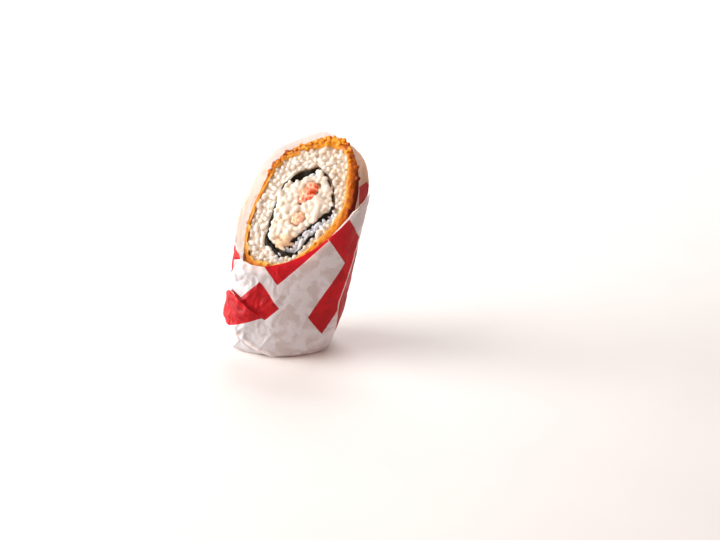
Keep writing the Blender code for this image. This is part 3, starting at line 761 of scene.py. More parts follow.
def end_tree(tree, instances, look, swell, size, seed):
    """Realize, make every copy a little different, smooth, give the material and end the tree."""
    real = add(tree, "GeometryNodeRealizeInstances", {0: instances})
    spot = add(tree, "GeometryNodeInputPosition").outputs[0]
    cloud = add(tree, "ShaderNodeTexNoise", {"Vector": spot, "W": seed, "Scale": size, "Detail": 1.0},
                noise_dimensions="4D")
    centred = add(tree, "ShaderNodeMath", {0: cloud.outputs["Fac"], 1: 0.5}, operation="SUBTRACT")
    amount = add(tree, "ShaderNodeMath", {0: centred.outputs[0], 1: swell}, operation="MULTIPLY")
    normal = add(tree, "GeometryNodeInputNormal").outputs[0]
    push = add(tree, "ShaderNodeVectorMath", {0: normal, "Scale": amount.outputs[0]}, operation="SCALE")
    moved = add(tree, "GeometryNodeSetPosition", {"Geometry": real.outputs[0], "Offset": push.outputs[0]})
    smooth = add(tree, "GeometryNodeSetShadeSmooth", {"Geometry": moved.outputs[0]})
    painted = add(tree, "GeometryNodeSetMaterial", {"Geometry": smooth.outputs[0], "Material": look})
    add(tree, "NodeGroupOutput", {0: painted.outputs[0]})


def grow(thing, tree, look, **values):
    """Run a tree on an object and keep the result as its plain mesh."""
    run = thing.modifiers.new(tree.name, "NODES")
    run.node_group = tree
    names = {item.name: item.identifier for item in tree.interface.items_tree if item.in_out == "INPUT"}
    for key, value in values.items():
        run[names[key.replace("_", " ")]] = value
    return settle(thing, look)


def grain_tree(look):
    """One grain on every point, turned and stretched as the point says."""
    tree, given = start_tree("Rice grains", {"Length": GRAIN_LENGTH * MM, "Width": GRAIN_WIDTH * MM,
                                             "Swell": 0.2 * MM, "Seed": 3.0}, ("Grain",))
    turn = add(tree, "GeometryNodeInputNamedAttribute", {"Name": "turn"}, data_type="FLOAT_VECTOR")
    size = add(tree, "GeometryNodeInputNamedAttribute", {"Name": "size"}, data_type="FLOAT_VECTOR")
    spin = add(tree, "FunctionNodeEulerToRotation", {0: turn.outputs[0]})
    shape = add(tree, "ShaderNodeCombineXYZ", {0: given["Length"], 1: given["Width"], 2: given["Width"]})
    scale = add(tree, "ShaderNodeVectorMath", {0: shape.outputs[0], 1: size.outputs[0]}, operation="MULTIPLY")
    grain = add(tree, "GeometryNodeObjectInfo", {"Object": given["Grain"]})
    put = add(tree, "GeometryNodeInstanceOnPoints", {
        "Points": given["Geometry"], "Instance": grain.outputs["Geometry"], "Rotation": spin.outputs[0],
        "Scale": scale.outputs[0]})
    end_tree(tree, put.outputs[0], look, given["Swell"], 1 / (2.2 * MM), given["Seed"])
    return tree


def crumb_tree(look):
    """Fried crumbs scattered over the points marked for them, each a different nugget."""
    tree, given = start_tree("Batter crumbs", {"Spacing": 1.15 * MM, "Smallest": 0.5 * MM,
                                               "Largest": 1.75 * MM, "Swell": 1.7 * MM, "Seed": 5.0})
    mark = add(tree, "GeometryNodeInputNamedAttribute", {"Name": "crumb"}, data_type="FLOAT")
    points = add(tree, "GeometryNodeDistributePointsOnFaces", {
        "Mesh": given["Geometry"], "Distance Min": given["Spacing"], "Density Max": 2.0e6,
        "Density Factor": mark.outputs[0], "Seed": 7}, distribute_method="POISSON")
    size = add(tree, "FunctionNodeRandomValue", {2: given["Smallest"], 3: given["Largest"], "Seed": 2},
               data_type="FLOAT")
    spin = add(tree, "FunctionNodeRandomValue", {1: (math.tau, math.tau, math.tau), "Seed": 9},
               data_type="FLOAT_VECTOR")
    turn = add(tree, "FunctionNodeEulerToRotation", {0: spin.outputs[0]})
    ball = add(tree, "GeometryNodeMeshIcoSphere", {"Radius": 1.0, "Subdivisions": 2})
    put = add(tree, "GeometryNodeInstanceOnPoints", {
        "Points": points.outputs[0], "Instance": ball.outputs[0], "Rotation": turn.outputs[0],
        "Scale": size.outputs[1]})
    end_tree(tree, put.outputs[0], look, given["Swell"], 1 / (1.1 * MM), given["Seed"])
    return tree


# Paper


def rim_height(angle):
    """The height of the sheet's free upper edge."""
    degrees = (np.degrees(angle) + 180.0) % 360.0 - 180.0
    lift = np.interp(degrees, RIM_ANGLES, RIM_LIFT, period=360.0)
    radius = round_value(ROLL_RADII, angle) + round_value(PAPER_FLARE, angle)
    return cut_height(radius * np.cos(angle), radius * np.sin(angle)) + lift


def paper_radius(angle, height):
    """The radius of the sheet's outer face: loose over the roll, with tents and soft wrinkles."""
    flare = round_value(PAPER_FLARE, angle) * np.interp(height, FLARE_HEIGHTS, FLARE_SHARE)
    radius = end_radius(angle, height) + np.maximum(flare, 0.95)
    for where, level, wide, up, down, out in TENTS:
        turn = np.abs((np.degrees(angle) - where + 180.0) % 360.0 - 180.0) / wide
        rise = np.abs(height - level) / np.where(height > level, up, down)
        radius = radius + out * np.clip(1.0 - turn, 0.0, 1.0) * np.clip(1.0 - rise, 0.0, 1.0)
    around = stacked(34 * np.cos(angle), 34 * np.sin(angle), 0.7 * height)
    degrees = np.degrees(angle)
    crumpled = 0.45 + 0.65 * near_angle(degrees, 195.0, 55.0) * smooth_step(1.6 - height / 55.0)
    crumpled = crumpled - 0.32 * near_angle(degrees, -70.0, 38.0)
    warped = around + 3.0 * noise(around, 9.0, 5)[..., None]
    crisp = (1.0 - np.abs(noise(warped, 8.0, 3))) ** 4
    facets = np.abs(noise(warped * (1.0, 1.0, 1.3), 5.0, 7)) + 0.5 * np.abs(noise(warped, 2.6, 9))
    wrinkle = 0.35 + 0.45 * noise(around, 12.0, 2) + crumpled * (0.75 * crisp + 1.1 * facets - 0.3)
    return radius + wrinkle * np.clip(height / END_HEIGHT, 0.0, 1.0)


def fold_relief(flat):
    """Folded steps and creases of the front sheet."""
    total = np.zeros(flat.shape[:-1])
    for line, out, fade in STEPS:
        distance, side, along = line_places(flat, line)
        rise = smooth_step((np.where(side > 0, distance, -distance) + 0.2) / 0.9)
        ends = smooth_step(along * 4.0)
        total += out * rise * np.exp(-np.maximum(distance, 0.0) / fade) * ends
    for line, out, width in CREASES:
        distance, _, along = line_places(flat, line)
        ends = smooth_step(np.minimum(along, 1.0 - along) * 5.0 + 0.15)
        total += out * np.exp(-distance / width) * ends
    return total


def sheet_piece(name, angle, height, offset, look, bars, margin=99.0):
    """A thin sheet round the roll at given angles and heights, printed with bars up to its margin."""
    flat = np.stack([angle * FLAT_RADIUS, height], axis=-1)
    radius = paper_radius(angle, height) + offset
    points = []
    for inward in (0.0, SHEET_THICKNESS):
        reach = radius - inward
        points.append(leaned(reach * np.cos(angle), reach * np.sin(angle), height))
    depth = np.minimum(bar_depth(flat, bars), margin)
    rows, columns = angle.shape
    below = rim_height(angle) - height
    # Inside face only: brown blots of soaked-in fat below the rim, and painted shade with warm bounce inside
    # the collar near 12 degrees
    blot = smooth_step(noise(stacked(angle * 34, 0.0, height), 5.0, 15) * 1.6 + 0.3)
    soak_and_painted_shade = np.maximum(0.95 * near_angle(np.degrees(angle), 12.0, 46.0),
                        0.5 * blot * smooth_step((below - 3.0) / 5.0))
    values = {"print_depth": np.stack([depth, depth]),
              "inside": np.stack([np.zeros_like(depth), np.ones_like(depth)]),
              "oil_and_painted_shade": np.stack([np.zeros_like(depth), soak_and_painted_shade])}
    return piece(name, np.stack(points), sheet_faces(rows, columns, False), look, values)


def make_front_sheet(look):
    """The outer turn of the sheet: from behind on the left, across the front, to its free edge."""
    rows, columns = 190, 215
    share = np.linspace(0.0, 1.0, rows)[:, None]
    left, right = np.interp(share, *FRONT_LEFT), np.interp(share, *FRONT_RIGHT)
    angle = np.radians(left + (right - left) * np.linspace(0.0, 1.0, columns)[None, :])
    height = SHEET_FOOT + (rim_height(angle) - SHEET_FOOT) * share
    flat = np.stack([angle * FLAT_RADIUS, height], axis=-1)
    to_edge = (np.radians(right) - angle) * FLAT_RADIUS
    to_rim = rim_height(angle) - height
    lift = 0.25 + 0.9 * np.exp(-to_edge / 2.6) * smooth_step(height / 16.0)
    curl = 0.35 * np.exp(-to_rim / 2.5) * (0.4 + noise(stacked(angle * 9, 0.0, 0.0), 1.0, 8))
    made = sheet_piece("paper_front", angle, height, fold_relief(flat) + lift + curl, look, FRONT_BARS,
                       to_edge - 0.75)
    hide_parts("paper_wrap")
    return made


def make_pleats(look):
    """The folded edges that lap over the front sheet along its steps."""
    made = []
    for step, (line, _, _) in enumerate(STEPS):
        route = smooth_route(line, 0.5)
        over = sideways(route)
        along = np.linspace(0.0, 1.0, len(route))
        open_up = smooth_step(along * 4.0)
        reach = np.concatenate([np.linspace(-0.75, 1.0, 6), np.linspace(1.6, 4.0, 4)])[:, None]
        reach = reach * np.where(reach < 0.0, open_up, 1.0)
        flat = route[None] + over[None] * reach[..., None]
        raised = route[None] + over[None] * np.maximum(reach, 0.9)[..., None]
        lap = 0.42 * open_up * smooth_step((3.2 - reach) / 2.6) - 0.45 * smooth_step((reach - 2.6) / 1.4)
        lap = lap - 0.35 * (1.0 - open_up)
        offset = fold_relief(raised) + 0.25 + lap
        if over[0, 1] < 0.0:
            flat, offset = flat[::-1, ::-1], offset[::-1, ::-1]
        pleat = sheet_piece(f"paper_pleat_{step + 1}", flat[..., 0] / FLAT_RADIUS, flat[..., 1], offset, look,
                            FRONT_BARS)
        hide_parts("paper_wrap")
        made.append(pleat)
    return made


def make_back_sheet(look):
    """The inner turn of the sheet: under the front at the right, round the back, to under the left."""
    rows, columns = 150, 320
    share = np.linspace(0.0, 1.0, rows)[:, None]
    degrees = np.linspace(*BACK_SPAN, columns)[None, :]
    angle = np.radians(np.tile(degrees, (rows, 1)))
    under_right = smooth_step((-4.0 - degrees) / 8.0)
    under_left = smooth_step((degrees - 203.0) / 6.0)
    hidden = smooth_step((-40.0 - degrees) / 20.0)
    rim = rim_height(angle) + 0.9 * under_right - 3.0 * hidden - 4.0 * under_left
    ripple = 0.5 * noise(stacked(angle * 9, 0.0, 0.0), 1.0, 12)
    rim = rim + ripple * (1 - under_right)
    height = SHEET_FOOT + (rim - SHEET_FOOT) * share
    overlap = np.maximum(smooth_step((-6.0 - degrees) / 10.0), smooth_step((degrees - 186.0) / 8.0))
    curl = 0.3 * np.exp(-(rim - height) / 3.0) * (0.3 + noise(stacked(angle * 7, 0.0, 0.0), 1.0, 9))
    made = sheet_piece("paper_back", angle, height, curl - 0.45 * overlap, look, BACK_BARS)
    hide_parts("paper_wrap")
    return made


def make_base(look):
    """The sheet's ends, gathered and folded flat under the roll."""
    columns = 180
    angle = np.linspace(0.0, math.tau, columns, endpoint=False)
    turn = (angle / math.tau * 7.0 + 0.3 * noise(stacked(angle * 2, 0.0, 0.0), 1.0, 6)) % 1.0
    pleat = 0.28 * turn
    edge = paper_radius(angle, np.full(columns, 0.5)) - 0.35
    shares = np.linspace(0.03, 1.0, 24)
    rings = []
    under, over = [(share, 0.0) for share in shares], [(share, PAPER_BASE) for share in shares[::-1]]
    for share, thick in under + over:
        radius = edge * share
        twist = angle + 0.35 * (1.0 - share)
        height = pleat * smooth_step(share * 1.6) if thick == 0.0 else np.full(columns, thick)
        rings.append(leaned(radius * np.cos(twist), radius * np.sin(twist), height))
    rings = np.array(rings)
    none = np.zeros(rings.shape[:2])
    made = ring_body("paper_base", rings, look, {"print_depth": none - 9.0, "inside": none, "oil_and_painted_shade": none})
    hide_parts("paper_wrap")
    return made


# Batter


def around_cut(points):
    """Angle in degrees, radius and drop below the cut, of points."""
    x, y = np.moveaxis(section_of(points), -1, 0)
    return np.degrees(np.arctan2(y, x)), np.hypot(x, y), cut_height(x, y) - points[..., 2]


def clustered(degrees, *reach):
    """Near either cluster of toasted crumbs."""
    return np.maximum(*(near_angle(degrees, middle, wide) for middle, wide in zip(TOASTED, reach)))


def frying(points):
    """How toasted the batter is, with painted shade to the right and down the wall and painted highlights
    on crumb tips, and how pale it stays against the rice.
    """
    degrees, radius, drop = around_cut(points)
    spots = fractal(points, 4.0, 2, 40)
    fine = fractal(points, 1.6, 2, 43)
    streaks = noise(stacked(degrees * 0.9, 0.0, drop * 0.12), 2.4, 44)
    outward = radius - rice_edge(np.radians(degrees))
    # The terms near 0 and -20 degrees and the one growing with the drop below the cut are painted shade on
    # the curving wall; spots, streaks, clusters and the line are real toasting
    toast_and_painted_light = (0.05 + 0.44 * near_angle(degrees, 0.0, 40.0) * smooth_step((outward - 0.5) / 2.4)
             + 0.95 * near_angle(degrees, -20.0, 19.0) * smooth_step((outward - 2.8) / 4.0)
             + 0.22 * near_angle(degrees, 236.0, 34.0) * smooth_step(outward / 2.5)
             + 0.1 * smooth_step(drop / 10.0) + 0.2 * streaks * smooth_step(drop / 3.0))
    toast_and_painted_light = toast_and_painted_light + 0.3 * smooth_step((spots - 0.3) * 3.0) + 0.12 * fine
    toast_and_painted_light = toast_and_painted_light + 0.6 * clustered(degrees, 6.0, 7.0) * smooth_step((outward - 0.8) / 0.8)
    line = near_angle(degrees, 92.0, 16.0) * np.exp(-(((outward - 0.7) / 0.5) ** 2))
    toast_and_painted_light = toast_and_painted_light + 0.5 * line * (drop < 1.5)
    bare = 1.0 - 0.85 * near_angle(degrees, 45.0, 65.0)
    pale = smooth_step(1.0 - (outward - 0.1) / 1.1 + 0.3 * fine) * bare * smooth_step(1.6 - drop / 2.0)
    # Crumb tips standing off the cut are painted paler: a painted highlight
    tips = above_cut(points) * near_angle(degrees, 60.0, 60.0)
    return toast_and_painted_light - 0.35 * smooth_step(tips / 1.6), pale


def make_batter(look):
    """The fried coat: a closed rounded end, a cragged wall and a crumbed rim at the cut."""
    columns = 420
    floor = PAPER_BASE + 0.3
    angle = np.linspace(0.0, math.tau, columns, endpoint=False)[None, :]
    degrees = np.degrees(angle)
    radius = round_value(ROLL_RADII, angle)
    top = cut_height(radius * np.cos(angle), radius * np.sin(angle))
    depth = np.concatenate([np.linspace(1.0, 0.36, 30), np.linspace(0.355, 0.0, 96)])[:, None]
    height = floor + (top - floor) * (1.0 - depth)
    rise = 1.0 - np.clip((top - height) / SHOULDER_DROP, 0.0, 1.0)
    fade = 1.0 - np.clip((top - height - SHOULDER_DROP) / (SHOULDER_FADE - SHOULDER_DROP), 0.0, 1.0)
    swell = np.maximum(round_value(SHOULDER_SWELL, angle), 0.0) * np.sqrt(1.0 - rise**2) * fade
    around = stacked(30 * np.cos(angle), 30 * np.sin(angle), height)
    slick = near_angle(degrees, *SLICK)
    crag = 0.45 * (1.0 + noise(around * (1, 1, 0.6), 5.0, 1))
    crag = crag + 0.3 * (1 - 0.6 * slick) * fractal(around, 1.9, 3, 20)
    near_rim = np.exp(-(top - height) / 2.5)
    reach = end_radius(angle, height - floor) + swell - crag * (1.0 - 0.5 * near_rim) + 0.1
    wall = leaned(reach * np.cos(angle), reach * np.sin(angle), height - 0.9 * slick * near_rim)

    share = np.linspace(0.0, 1.0, 14)[1:, None]
    inner = batter_inner(angle)
    rag = 0.95 * fractal(stacked(30 * np.cos(angle), 30 * np.sin(angle), 0.0), 2.6, 3, 36)
    across = reach[-1:] + (rice_edge(angle) + rag - reach[-1:]) * share
    flat = np.stack([across * np.cos(angle), across * np.sin(angle)], axis=-1)
    bulge = np.sin(math.pi * share) ** 0.7
    lumpy = fractal(leaned(flat[..., 0], flat[..., 1], 0.0), 2.4, 4, 31)
    crumb = 0.75 * bulge * (0.05 + (1.0 - 0.7 * slick) * lumpy)
    rim = on_cut(flat[..., 0], flat[..., 1], crumb)
    rim[..., 2] -= 0.9 * slick * (1.0 - share) ** 1.4

    down = np.array([1.5, 4.0, 10.0])[:, None]
    inner_x, inner_y = inner * np.cos(angle), inner * np.sin(angle)
    lining = [leaned(inner_x, inner_y, cut_height(inner_x, inner_y) - drop) for drop in down]
    lining.append(leaned(inner_x, inner_y, FLOOR - 0.3))
    rings = np.concatenate([wall, rim, *lining])
    toast_and_painted_light, pale = frying(rings)
    pale[:len(wall)] = 0.0
    drop = top - height
    mark = np.zeros(rings.shape[:2])
    clusters = np.maximum(clustered(degrees, 7.0, 9.0), 0.08 * near_angle(degrees, 240.0, 36.0))
    on_wall = np.maximum(0.005 + 0.995 * near_angle(degrees, *CRUSTY_WALL), clusters)
    on_rim = np.maximum(0.01 + 0.99 * near_angle(degrees, *CRUSTY), clusters * (share < 0.6))
    mark[:len(wall)] = np.exp(-(drop / 1.8) ** 2) * on_wall
    mark[len(wall):len(wall) + len(rim)] = on_rim * bulge
    coat = ring_body("batter_coat_fried", rings, look, {"toast_and_painted_light": toast_and_painted_light, "pale": pale, "crumb": mark})
    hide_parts("batter_coat")

    crumbs = coat.copy()
    crumbs.data = coat.data.copy()
    bpy.context.scene.collection.objects.link(crumbs)
    grow(crumbs, crumb_tree(look), look)
    core = []
    for out, low in ((0.6, -4.0), (0.75, -0.6), (0.3, -0.5), (0.2, -4.0)):
        ring = inner + (reach[-1] - inner) * out
        core.append(on_cut(ring * np.cos(angle), ring * np.sin(angle), low - 2.8 * slick)[0])
    core_faces = [[corner % (4 * columns) for corner in face] for face in grid_faces(5, columns, True)]
    heap = fused("batter_crumbs", [(np.vstack(core), core_faces), parts_of(crumbs)], CRUMB_VOXEL, look, 1)
    bpy.data.objects.remove(crumbs)
    toast_and_painted_light, pale = frying(roughen(heap, 0.1, 0.9, 2, 33))
    keep_value(heap, "toast_and_painted_light", toast_and_painted_light)
    keep_value(heap, "pale", pale * 0.5)
    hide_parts("batter_coat")
    return coat, heap


# Nori


def gape(route):
    """How far the rolled sheet stands away outwards at the top of its loop, where the filling sank."""
    wavy = noise(stacked(route[..., 0], route[..., 1], 0.0), 2.8, 55)
    return (1.9 + 0.9 * wavy) * smooth_step(1.6 - line_places(route, GAPE_LINE)[0] / 2.6)


def make_nori(look):
    """The toasted sheet rolled round the filling, with its tail in the rice: a torn, wavy upright strip."""
    route = smooth_route(NORI_ROUTE, 0.42)
    side = sideways(route)
    drops = np.concatenate([[80.0], np.linspace(14.0, 5.0, 8), np.linspace(4.6, 0.0, 13)])[:, None]
    x, y = route[:, 0], route[:, 1]
    degrees = cell_angle(route)
    at_left, at_right = near_angle(degrees, *CELL_LEFT), near_angle(degrees, *CELL_RIGHT)
    ragged = (1.2 - 0.2 * at_left + 1.3 * at_right) * fractal(stacked(x, y, 0.0), 2.6, 3, 50)
    ragged = ragged + 0.8 * at_left - 0.2 * at_right
    open_top = gape(route)
    top = cut_height(x, y) - 0.75 + ragged * (1.0 - open_top / 2.0) + 0.45 * open_top
    height = np.maximum(top[None, :] - drops, FLOOR)
    spot = stacked(x, y, height * 0.5)
    loose = np.exp(-drops / 6.0)
    sway = 0.75 * loose * noise(spot, 3.4, 51) + 0.25 * noise(spot, 1.2, 52)
    half = 0.34 - 0.1 * at_right + 0.36 * at_left + 0.8 * np.clip(noise(spot, 3.4, 53) - 0.05, 0.0, 1.0)
    faces_out = []
    for out in (-1.0, 1.0):
        moved = sway + out * half - open_top * np.exp(-drops / 9.0)
        faces_out.append(leaned(x + side[:, 0] * moved, y + side[:, 1] * moved, height))
    rows, columns = height.shape
    made = piece("nori_strip", np.stack(faces_out), sheet_faces(rows, columns, False), look)
    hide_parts("nori")
    return made


# Rice


def section_parts():
    """The nori's slot and the salad's cell as closed outlines."""
    route = smooth_route(NORI_ROUTE, 1.2)
    side = sideways(route)
    wide = (0.55 + gape(route))[:, None]
    slot = np.vstack([route - side * wide, (route + side * 0.55)[::-1]])
    last = int(np.argmin(np.linalg.norm(route - np.array(NORI_LOOP_END), axis=1)))
    return slot, route[: last + 1]


def clearance(flat, outline, slot, cell):
    """How far flat points lie inside the rice, clear of the batter, the nori and the salad."""
    return np.minimum(np.minimum(-loop_distance(flat, outline), loop_distance(flat, slot)),
                      loop_distance(flat, cell))


def turned_to(axis, about):
    """Rotation whose X runs along an axis, turned about it."""
    helper = CUT_NORMAL if abs(axis @ CUT_NORMAL) < 0.9 else FIRST_AXIS
    across = np.cross(helper, axis)
    across /= np.linalg.norm(across)
    third = np.cross(axis, across)
    y = across * math.cos(about) + third * math.sin(about)
    return Matrix(np.stack([axis, y, np.cross(axis, y)], axis=1).tolist())


def lie_of_grain(draw, at, parts):
    """The clearest of a few ways to lie or stand at a place: its clearance, axis and middle."""
    best = None
    lying = draw.uniform() < 0.25
    half = GRAIN_LENGTH / 2 - 0.9
    for _ in range(12):
        lie = draw.uniform(0.0, math.tau)
        tip = draw.uniform(-0.2, 0.3) if lying else draw.uniform(0.85, 1.4)
        axis = (FIRST_AXIS * math.cos(lie) + SECOND_AXIS * math.sin(lie)) * math.cos(tip)
        axis = axis + CUT_NORMAL * math.sin(tip)
        middle = at if lying else at - axis * (half - 0.45)
        gap = clearance(section_of(middle + np.outer((-1, 1), axis) * half), *parts).min()
        if best is None or gap > best[0]:
            best = (gap, axis, middle)
        if gap > 0.7:
            break
    return best


def grain_spots(*parts):
    """Where grains lie on the cut, how they turn and how long each is. Most stand end on."""
    draw = np.random.default_rng(RNG_SEED)
    tries = draw.uniform(-32.0, 32.0, (26000, 2))
    clear = clearance(tries, *parts)
    at_left = near_angle(cell_angle(tries), *CELL_LEFT) * (np.hypot(*tries.T) < 20.0)
    over = smooth_step(1.5 - line_places(tries, GAPE_ROOF)[0] / 3.0)
    kept = clear > draw.uniform(0.5, 1.1, len(tries)) + 0.45 * at_left - 0.6 * over
    spots, turns, sizes = [], [], []
    for depth, spread, spacing in GRAIN_LAYERS:
        layer = np.empty((0, 3))
        for flat, room in zip(tries[kept], clear[kept]):
            at = on_cut(*flat, -depth + draw.uniform(-spread, spread))
            shaded_strip = shaded_strip_share(at)
            if len(layer) and np.min(np.linalg.norm(layer - at, axis=1)) < spacing * (1.0 - 0.2 * shaded_strip):
                continue
            layer = np.vstack([layer, at])
            gap, axis, middle = lie_of_grain(draw, at, parts)
            if gap < -0.5:
                continue
            length = 1.0 if gap > 0.3 else float(np.clip(1.0 + (gap - 0.3) * 0.3, 0.62, 1.0))
            width = draw.uniform(0.88, 1.12) * (1.0 if room > 1.2 else 0.86) * (1.0 - 0.28 * shaded_strip)
            spots.append(middle)
            turns.append(tuple(turned_to(axis, draw.uniform(0.0, math.tau)).to_euler()))
            sizes.append((length * draw.uniform(0.9, 1.1), width, width * draw.uniform(0.85, 1.0)))
    spots.append(on_cut(*STRAY_GRAIN, -1.2))
    turns.append(tuple(turned_to(FIRST_AXIS, 0.0).to_euler()))
    sizes.append((0.8, 0.85, 0.8))
    return np.array(spots), np.array(turns), np.array(sizes)


def nearest_grains(points, spots, turns, sizes):
    """Which grain each point of the fused skin belongs to, and how near it is to a seam between two."""
    knots = (-0.34, -0.12, 0.12, 0.34)
    tree = KDTree(len(spots) * len(knots))
    for step, (spot, turn, size) in enumerate(zip(spots, turns, sizes)):
        axis = np.array(Euler(turn).to_matrix())[:, 0] * GRAIN_LENGTH * size[0]
        for knot, along in enumerate(knots):
            tree.insert(spot + axis * along, step * len(knots) + knot)
    tree.balance()
    nearest = np.zeros(len(points), dtype=int)
    seam = np.zeros(len(points))
    for place, point in enumerate(points):
        found = tree.find_n(point, 8)
        first = found[0][1] // len(knots)
        other = next((away for _, index, away in found if index // len(knots) != first), 9.0)
        nearest[place] = first
        seam[place] = max(0.0, 1.0 - (other - found[0][2]) / 0.5)
    return nearest, seam**1.5


def grain_shape():
    """A grain one unit long and one wide along X: blunt ends, a little bent. 48 faces."""
    sides = 8
    along = np.array([-0.86, -0.5, 0.0, 0.5, 0.86])
    reach = 0.5 * np.sqrt(1.0 - np.abs(along) ** 2.4)
    angle = np.linspace(0.0, math.tau, sides, endpoint=False)
    points = [(along[ring] / 2, reach[ring] * math.cos(turn) + 0.06 * along[ring] ** 2,
               reach[ring] * math.sin(turn)) for ring in range(len(along)) for turn in angle]
    faces = grid_faces(len(along), sides, True)
    first, last = len(points), len(points) + 1
    points += [(-0.5, 0.06, 0.0), (0.5, 0.06, 0.0)]
    for step in range(sides):
        after = (step + 1) % sides
        faces.append([first, after, step])
        faces.append([last, first - sides + step, first - sides + after])
    return np.array(points), faces


def shaded_strip_share(points):
    """How far points belong to the strip of rice under the sheet's tail, or to the stray grain in the hollow:
    both are painted grey as shade.
    """
    flat = section_of(points)
    distance = line_places(flat, SHADED_STRIP)[0]
    stray = np.hypot(flat[..., 0] - STRAY_GRAIN[0], flat[..., 1] - STRAY_GRAIN[1])
    return np.maximum(smooth_step(1.6 - distance / 2.2), smooth_step(1.9 - stray / 2.0))


def make_rice(look):
    """The rice: a sticky core from the fried end up, and the grains that show at the cut."""
    slot, cell = section_parts()
    angle = np.linspace(0.0, math.tau, 120, endpoint=False)
    radius = rice_edge(angle) + 0.3
    outline = np.stack([radius * np.cos(angle), radius * np.sin(angle)], axis=1)
    grid = grid_over(31.0, 1.3)
    room = clearance(grid, outline, slot, cell)
    flat, triangles = filled(outline, [slot, cell], grid[room > 0.5])
    x, y = flat.T
    sag = 1.6 + 0.25 * noise(stacked(x, y, 0.0), 2.4, 60) + 1.1 * shaded_strip_share(on_cut(x, y))
    core_points, core_faces = column(triangles, leaned(x, y, FLOOR), on_cut(x, y, -3.7))
    # The core lies deep under the grains and is painted with shade throughout, and with painted grey shade in
    # the strip under the tail
    core = piece("rice_core", core_points, core_faces, look,
                 {"tint": np.full(len(core_points), 0.6), "stain_and_painted_shade": np.full(len(core_points), 0.75),
                  "shaded_strip": shaded_strip_share(core_points) * 0.8})
    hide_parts("rice")

    spots, turns, sizes = grain_spots(outline, slot, cell)
    heap = piece("grain_heap", spots, [], look)
    for key, values in (("turn", turns), ("size", sizes)):
        heap.data.attributes.new(key, "FLOAT_VECTOR", "POINT").data.foreach_set("vector", np.ravel(values))
    shape, shape_faces = grain_shape()
    template = piece("grain", shape / MM, shape_faces, look)
    grow(heap, grain_tree(look), look, Grain=template)
    bed = column(triangles, on_cut(x, y, -4.2), on_cut(x, y, -sag))
    grains = fused("rice_grains", [bed, parts_of(heap)], GRAIN_VOXEL, look, 4)
    bpy.data.objects.remove(template)
    bpy.data.objects.remove(heap)
    points = mesh_points(grains)
    nearest, seam = nearest_grains(points, spots, turns, sizes)
    points = points - mesh_normals(grains) * (0.3 * seam * (above_cut(points) > -2.4))[:, None]
    move_points(grains, points)
    tints = np.random.default_rng(RNG_SEED + 1).uniform(0.0, 1.0, len(spots))
    keep_value(grains, "tint", tints[nearest])
    # Painted shade: darker deeper below the cut, in the seams between grains and toward the right side; the
    # stain near the crust is real
    deep = np.clip(-above_cut(points) / 1.3 - 0.45, 0.0, 1.0)
    x, y = section_of(points).T
    angle = np.arctan2(y, x)
    degrees = np.degrees(angle)
    to_crust = rice_edge(angle) - np.hypot(x, y)
    upper = near_angle(degrees, 55.0, 50.0)
    stain = 0.7 - 0.2 * upper + 0.5 * noise(points, 3.0, 61)
    stain = stain * np.exp(-((to_crust / (1.9 + 2.4 * upper)) ** 2))
    shade_and_stain = np.maximum.reduce([0.55 * deep, 0.3 * seam, 0.75 * stain]) + 0.2 * near_angle(degrees, 0.0, 40.0)
    keep_value(grains, "stain_and_painted_shade", np.clip(shade_and_stain, 0.0, 1.0))
    keep_value(grains, "shaded_strip", shaded_strip_share(points))
    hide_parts("rice")
    return core, grains


# Filling


def crab_reach(flat, size, grow_by=0.0):
    """How far flat points lie from a crab piece's middle, as a share of its outline there."""
    x, y, radius, squash, turn = size
    turn = math.radians(turn)
    dx, dy = flat[..., 0] - x, flat[..., 1] - y
    u = dx * math.cos(turn) + dy * math.sin(turn)
    v = (dy * math.cos(turn) - dx * math.sin(turn)) / squash
    angle = np.arctan2(v, u)
    outline = radius * (1.0 + 0.1 * np.cos(3 * angle + 0.6) + 0.04 * np.cos(5 * angle)) + grow_by
    return np.hypot(u, v) / outline


def crab_place(size, u, v):
    """Section coordinates of a place u along and v across a crab piece."""
    x, y, _, _, turn = size
    turn = math.radians(turn)
    return x + u * math.cos(turn) - v * math.sin(turn), y + u * math.sin(turn) + v * math.cos(turn)


def hollow(flat):
    """How deep the salad falls away beside the sheet at the top of the cell."""
    ragged = 1.3 * noise(stacked(flat[..., 0], flat[..., 1], 0.0), 2.8, 75)
    return 5.0 * smooth_step(1.5 - (line_places(flat, HOLLOW_LINE)[0] + ragged) / 2.1)


def random_axes(draw, count, flatness):
    """Upright or tipped frames for lumps; flatness near 1 keeps the long axis in the cut plane."""
    lie = draw.uniform(0.0, math.tau, count)
    tip = draw.uniform(-1.2, 1.2, count) * (1.0 - flatness)
    plane = np.cos(lie)[:, None] * FIRST_AXIS + np.sin(lie)[:, None] * SECOND_AXIS
    first = plane * np.cos(tip)[:, None] + CUT_NORMAL * np.sin(tip)[:, None]
    second = np.cross(CUT_NORMAL, plane)
    return np.stack([first, second, np.cross(first, second)], axis=1)


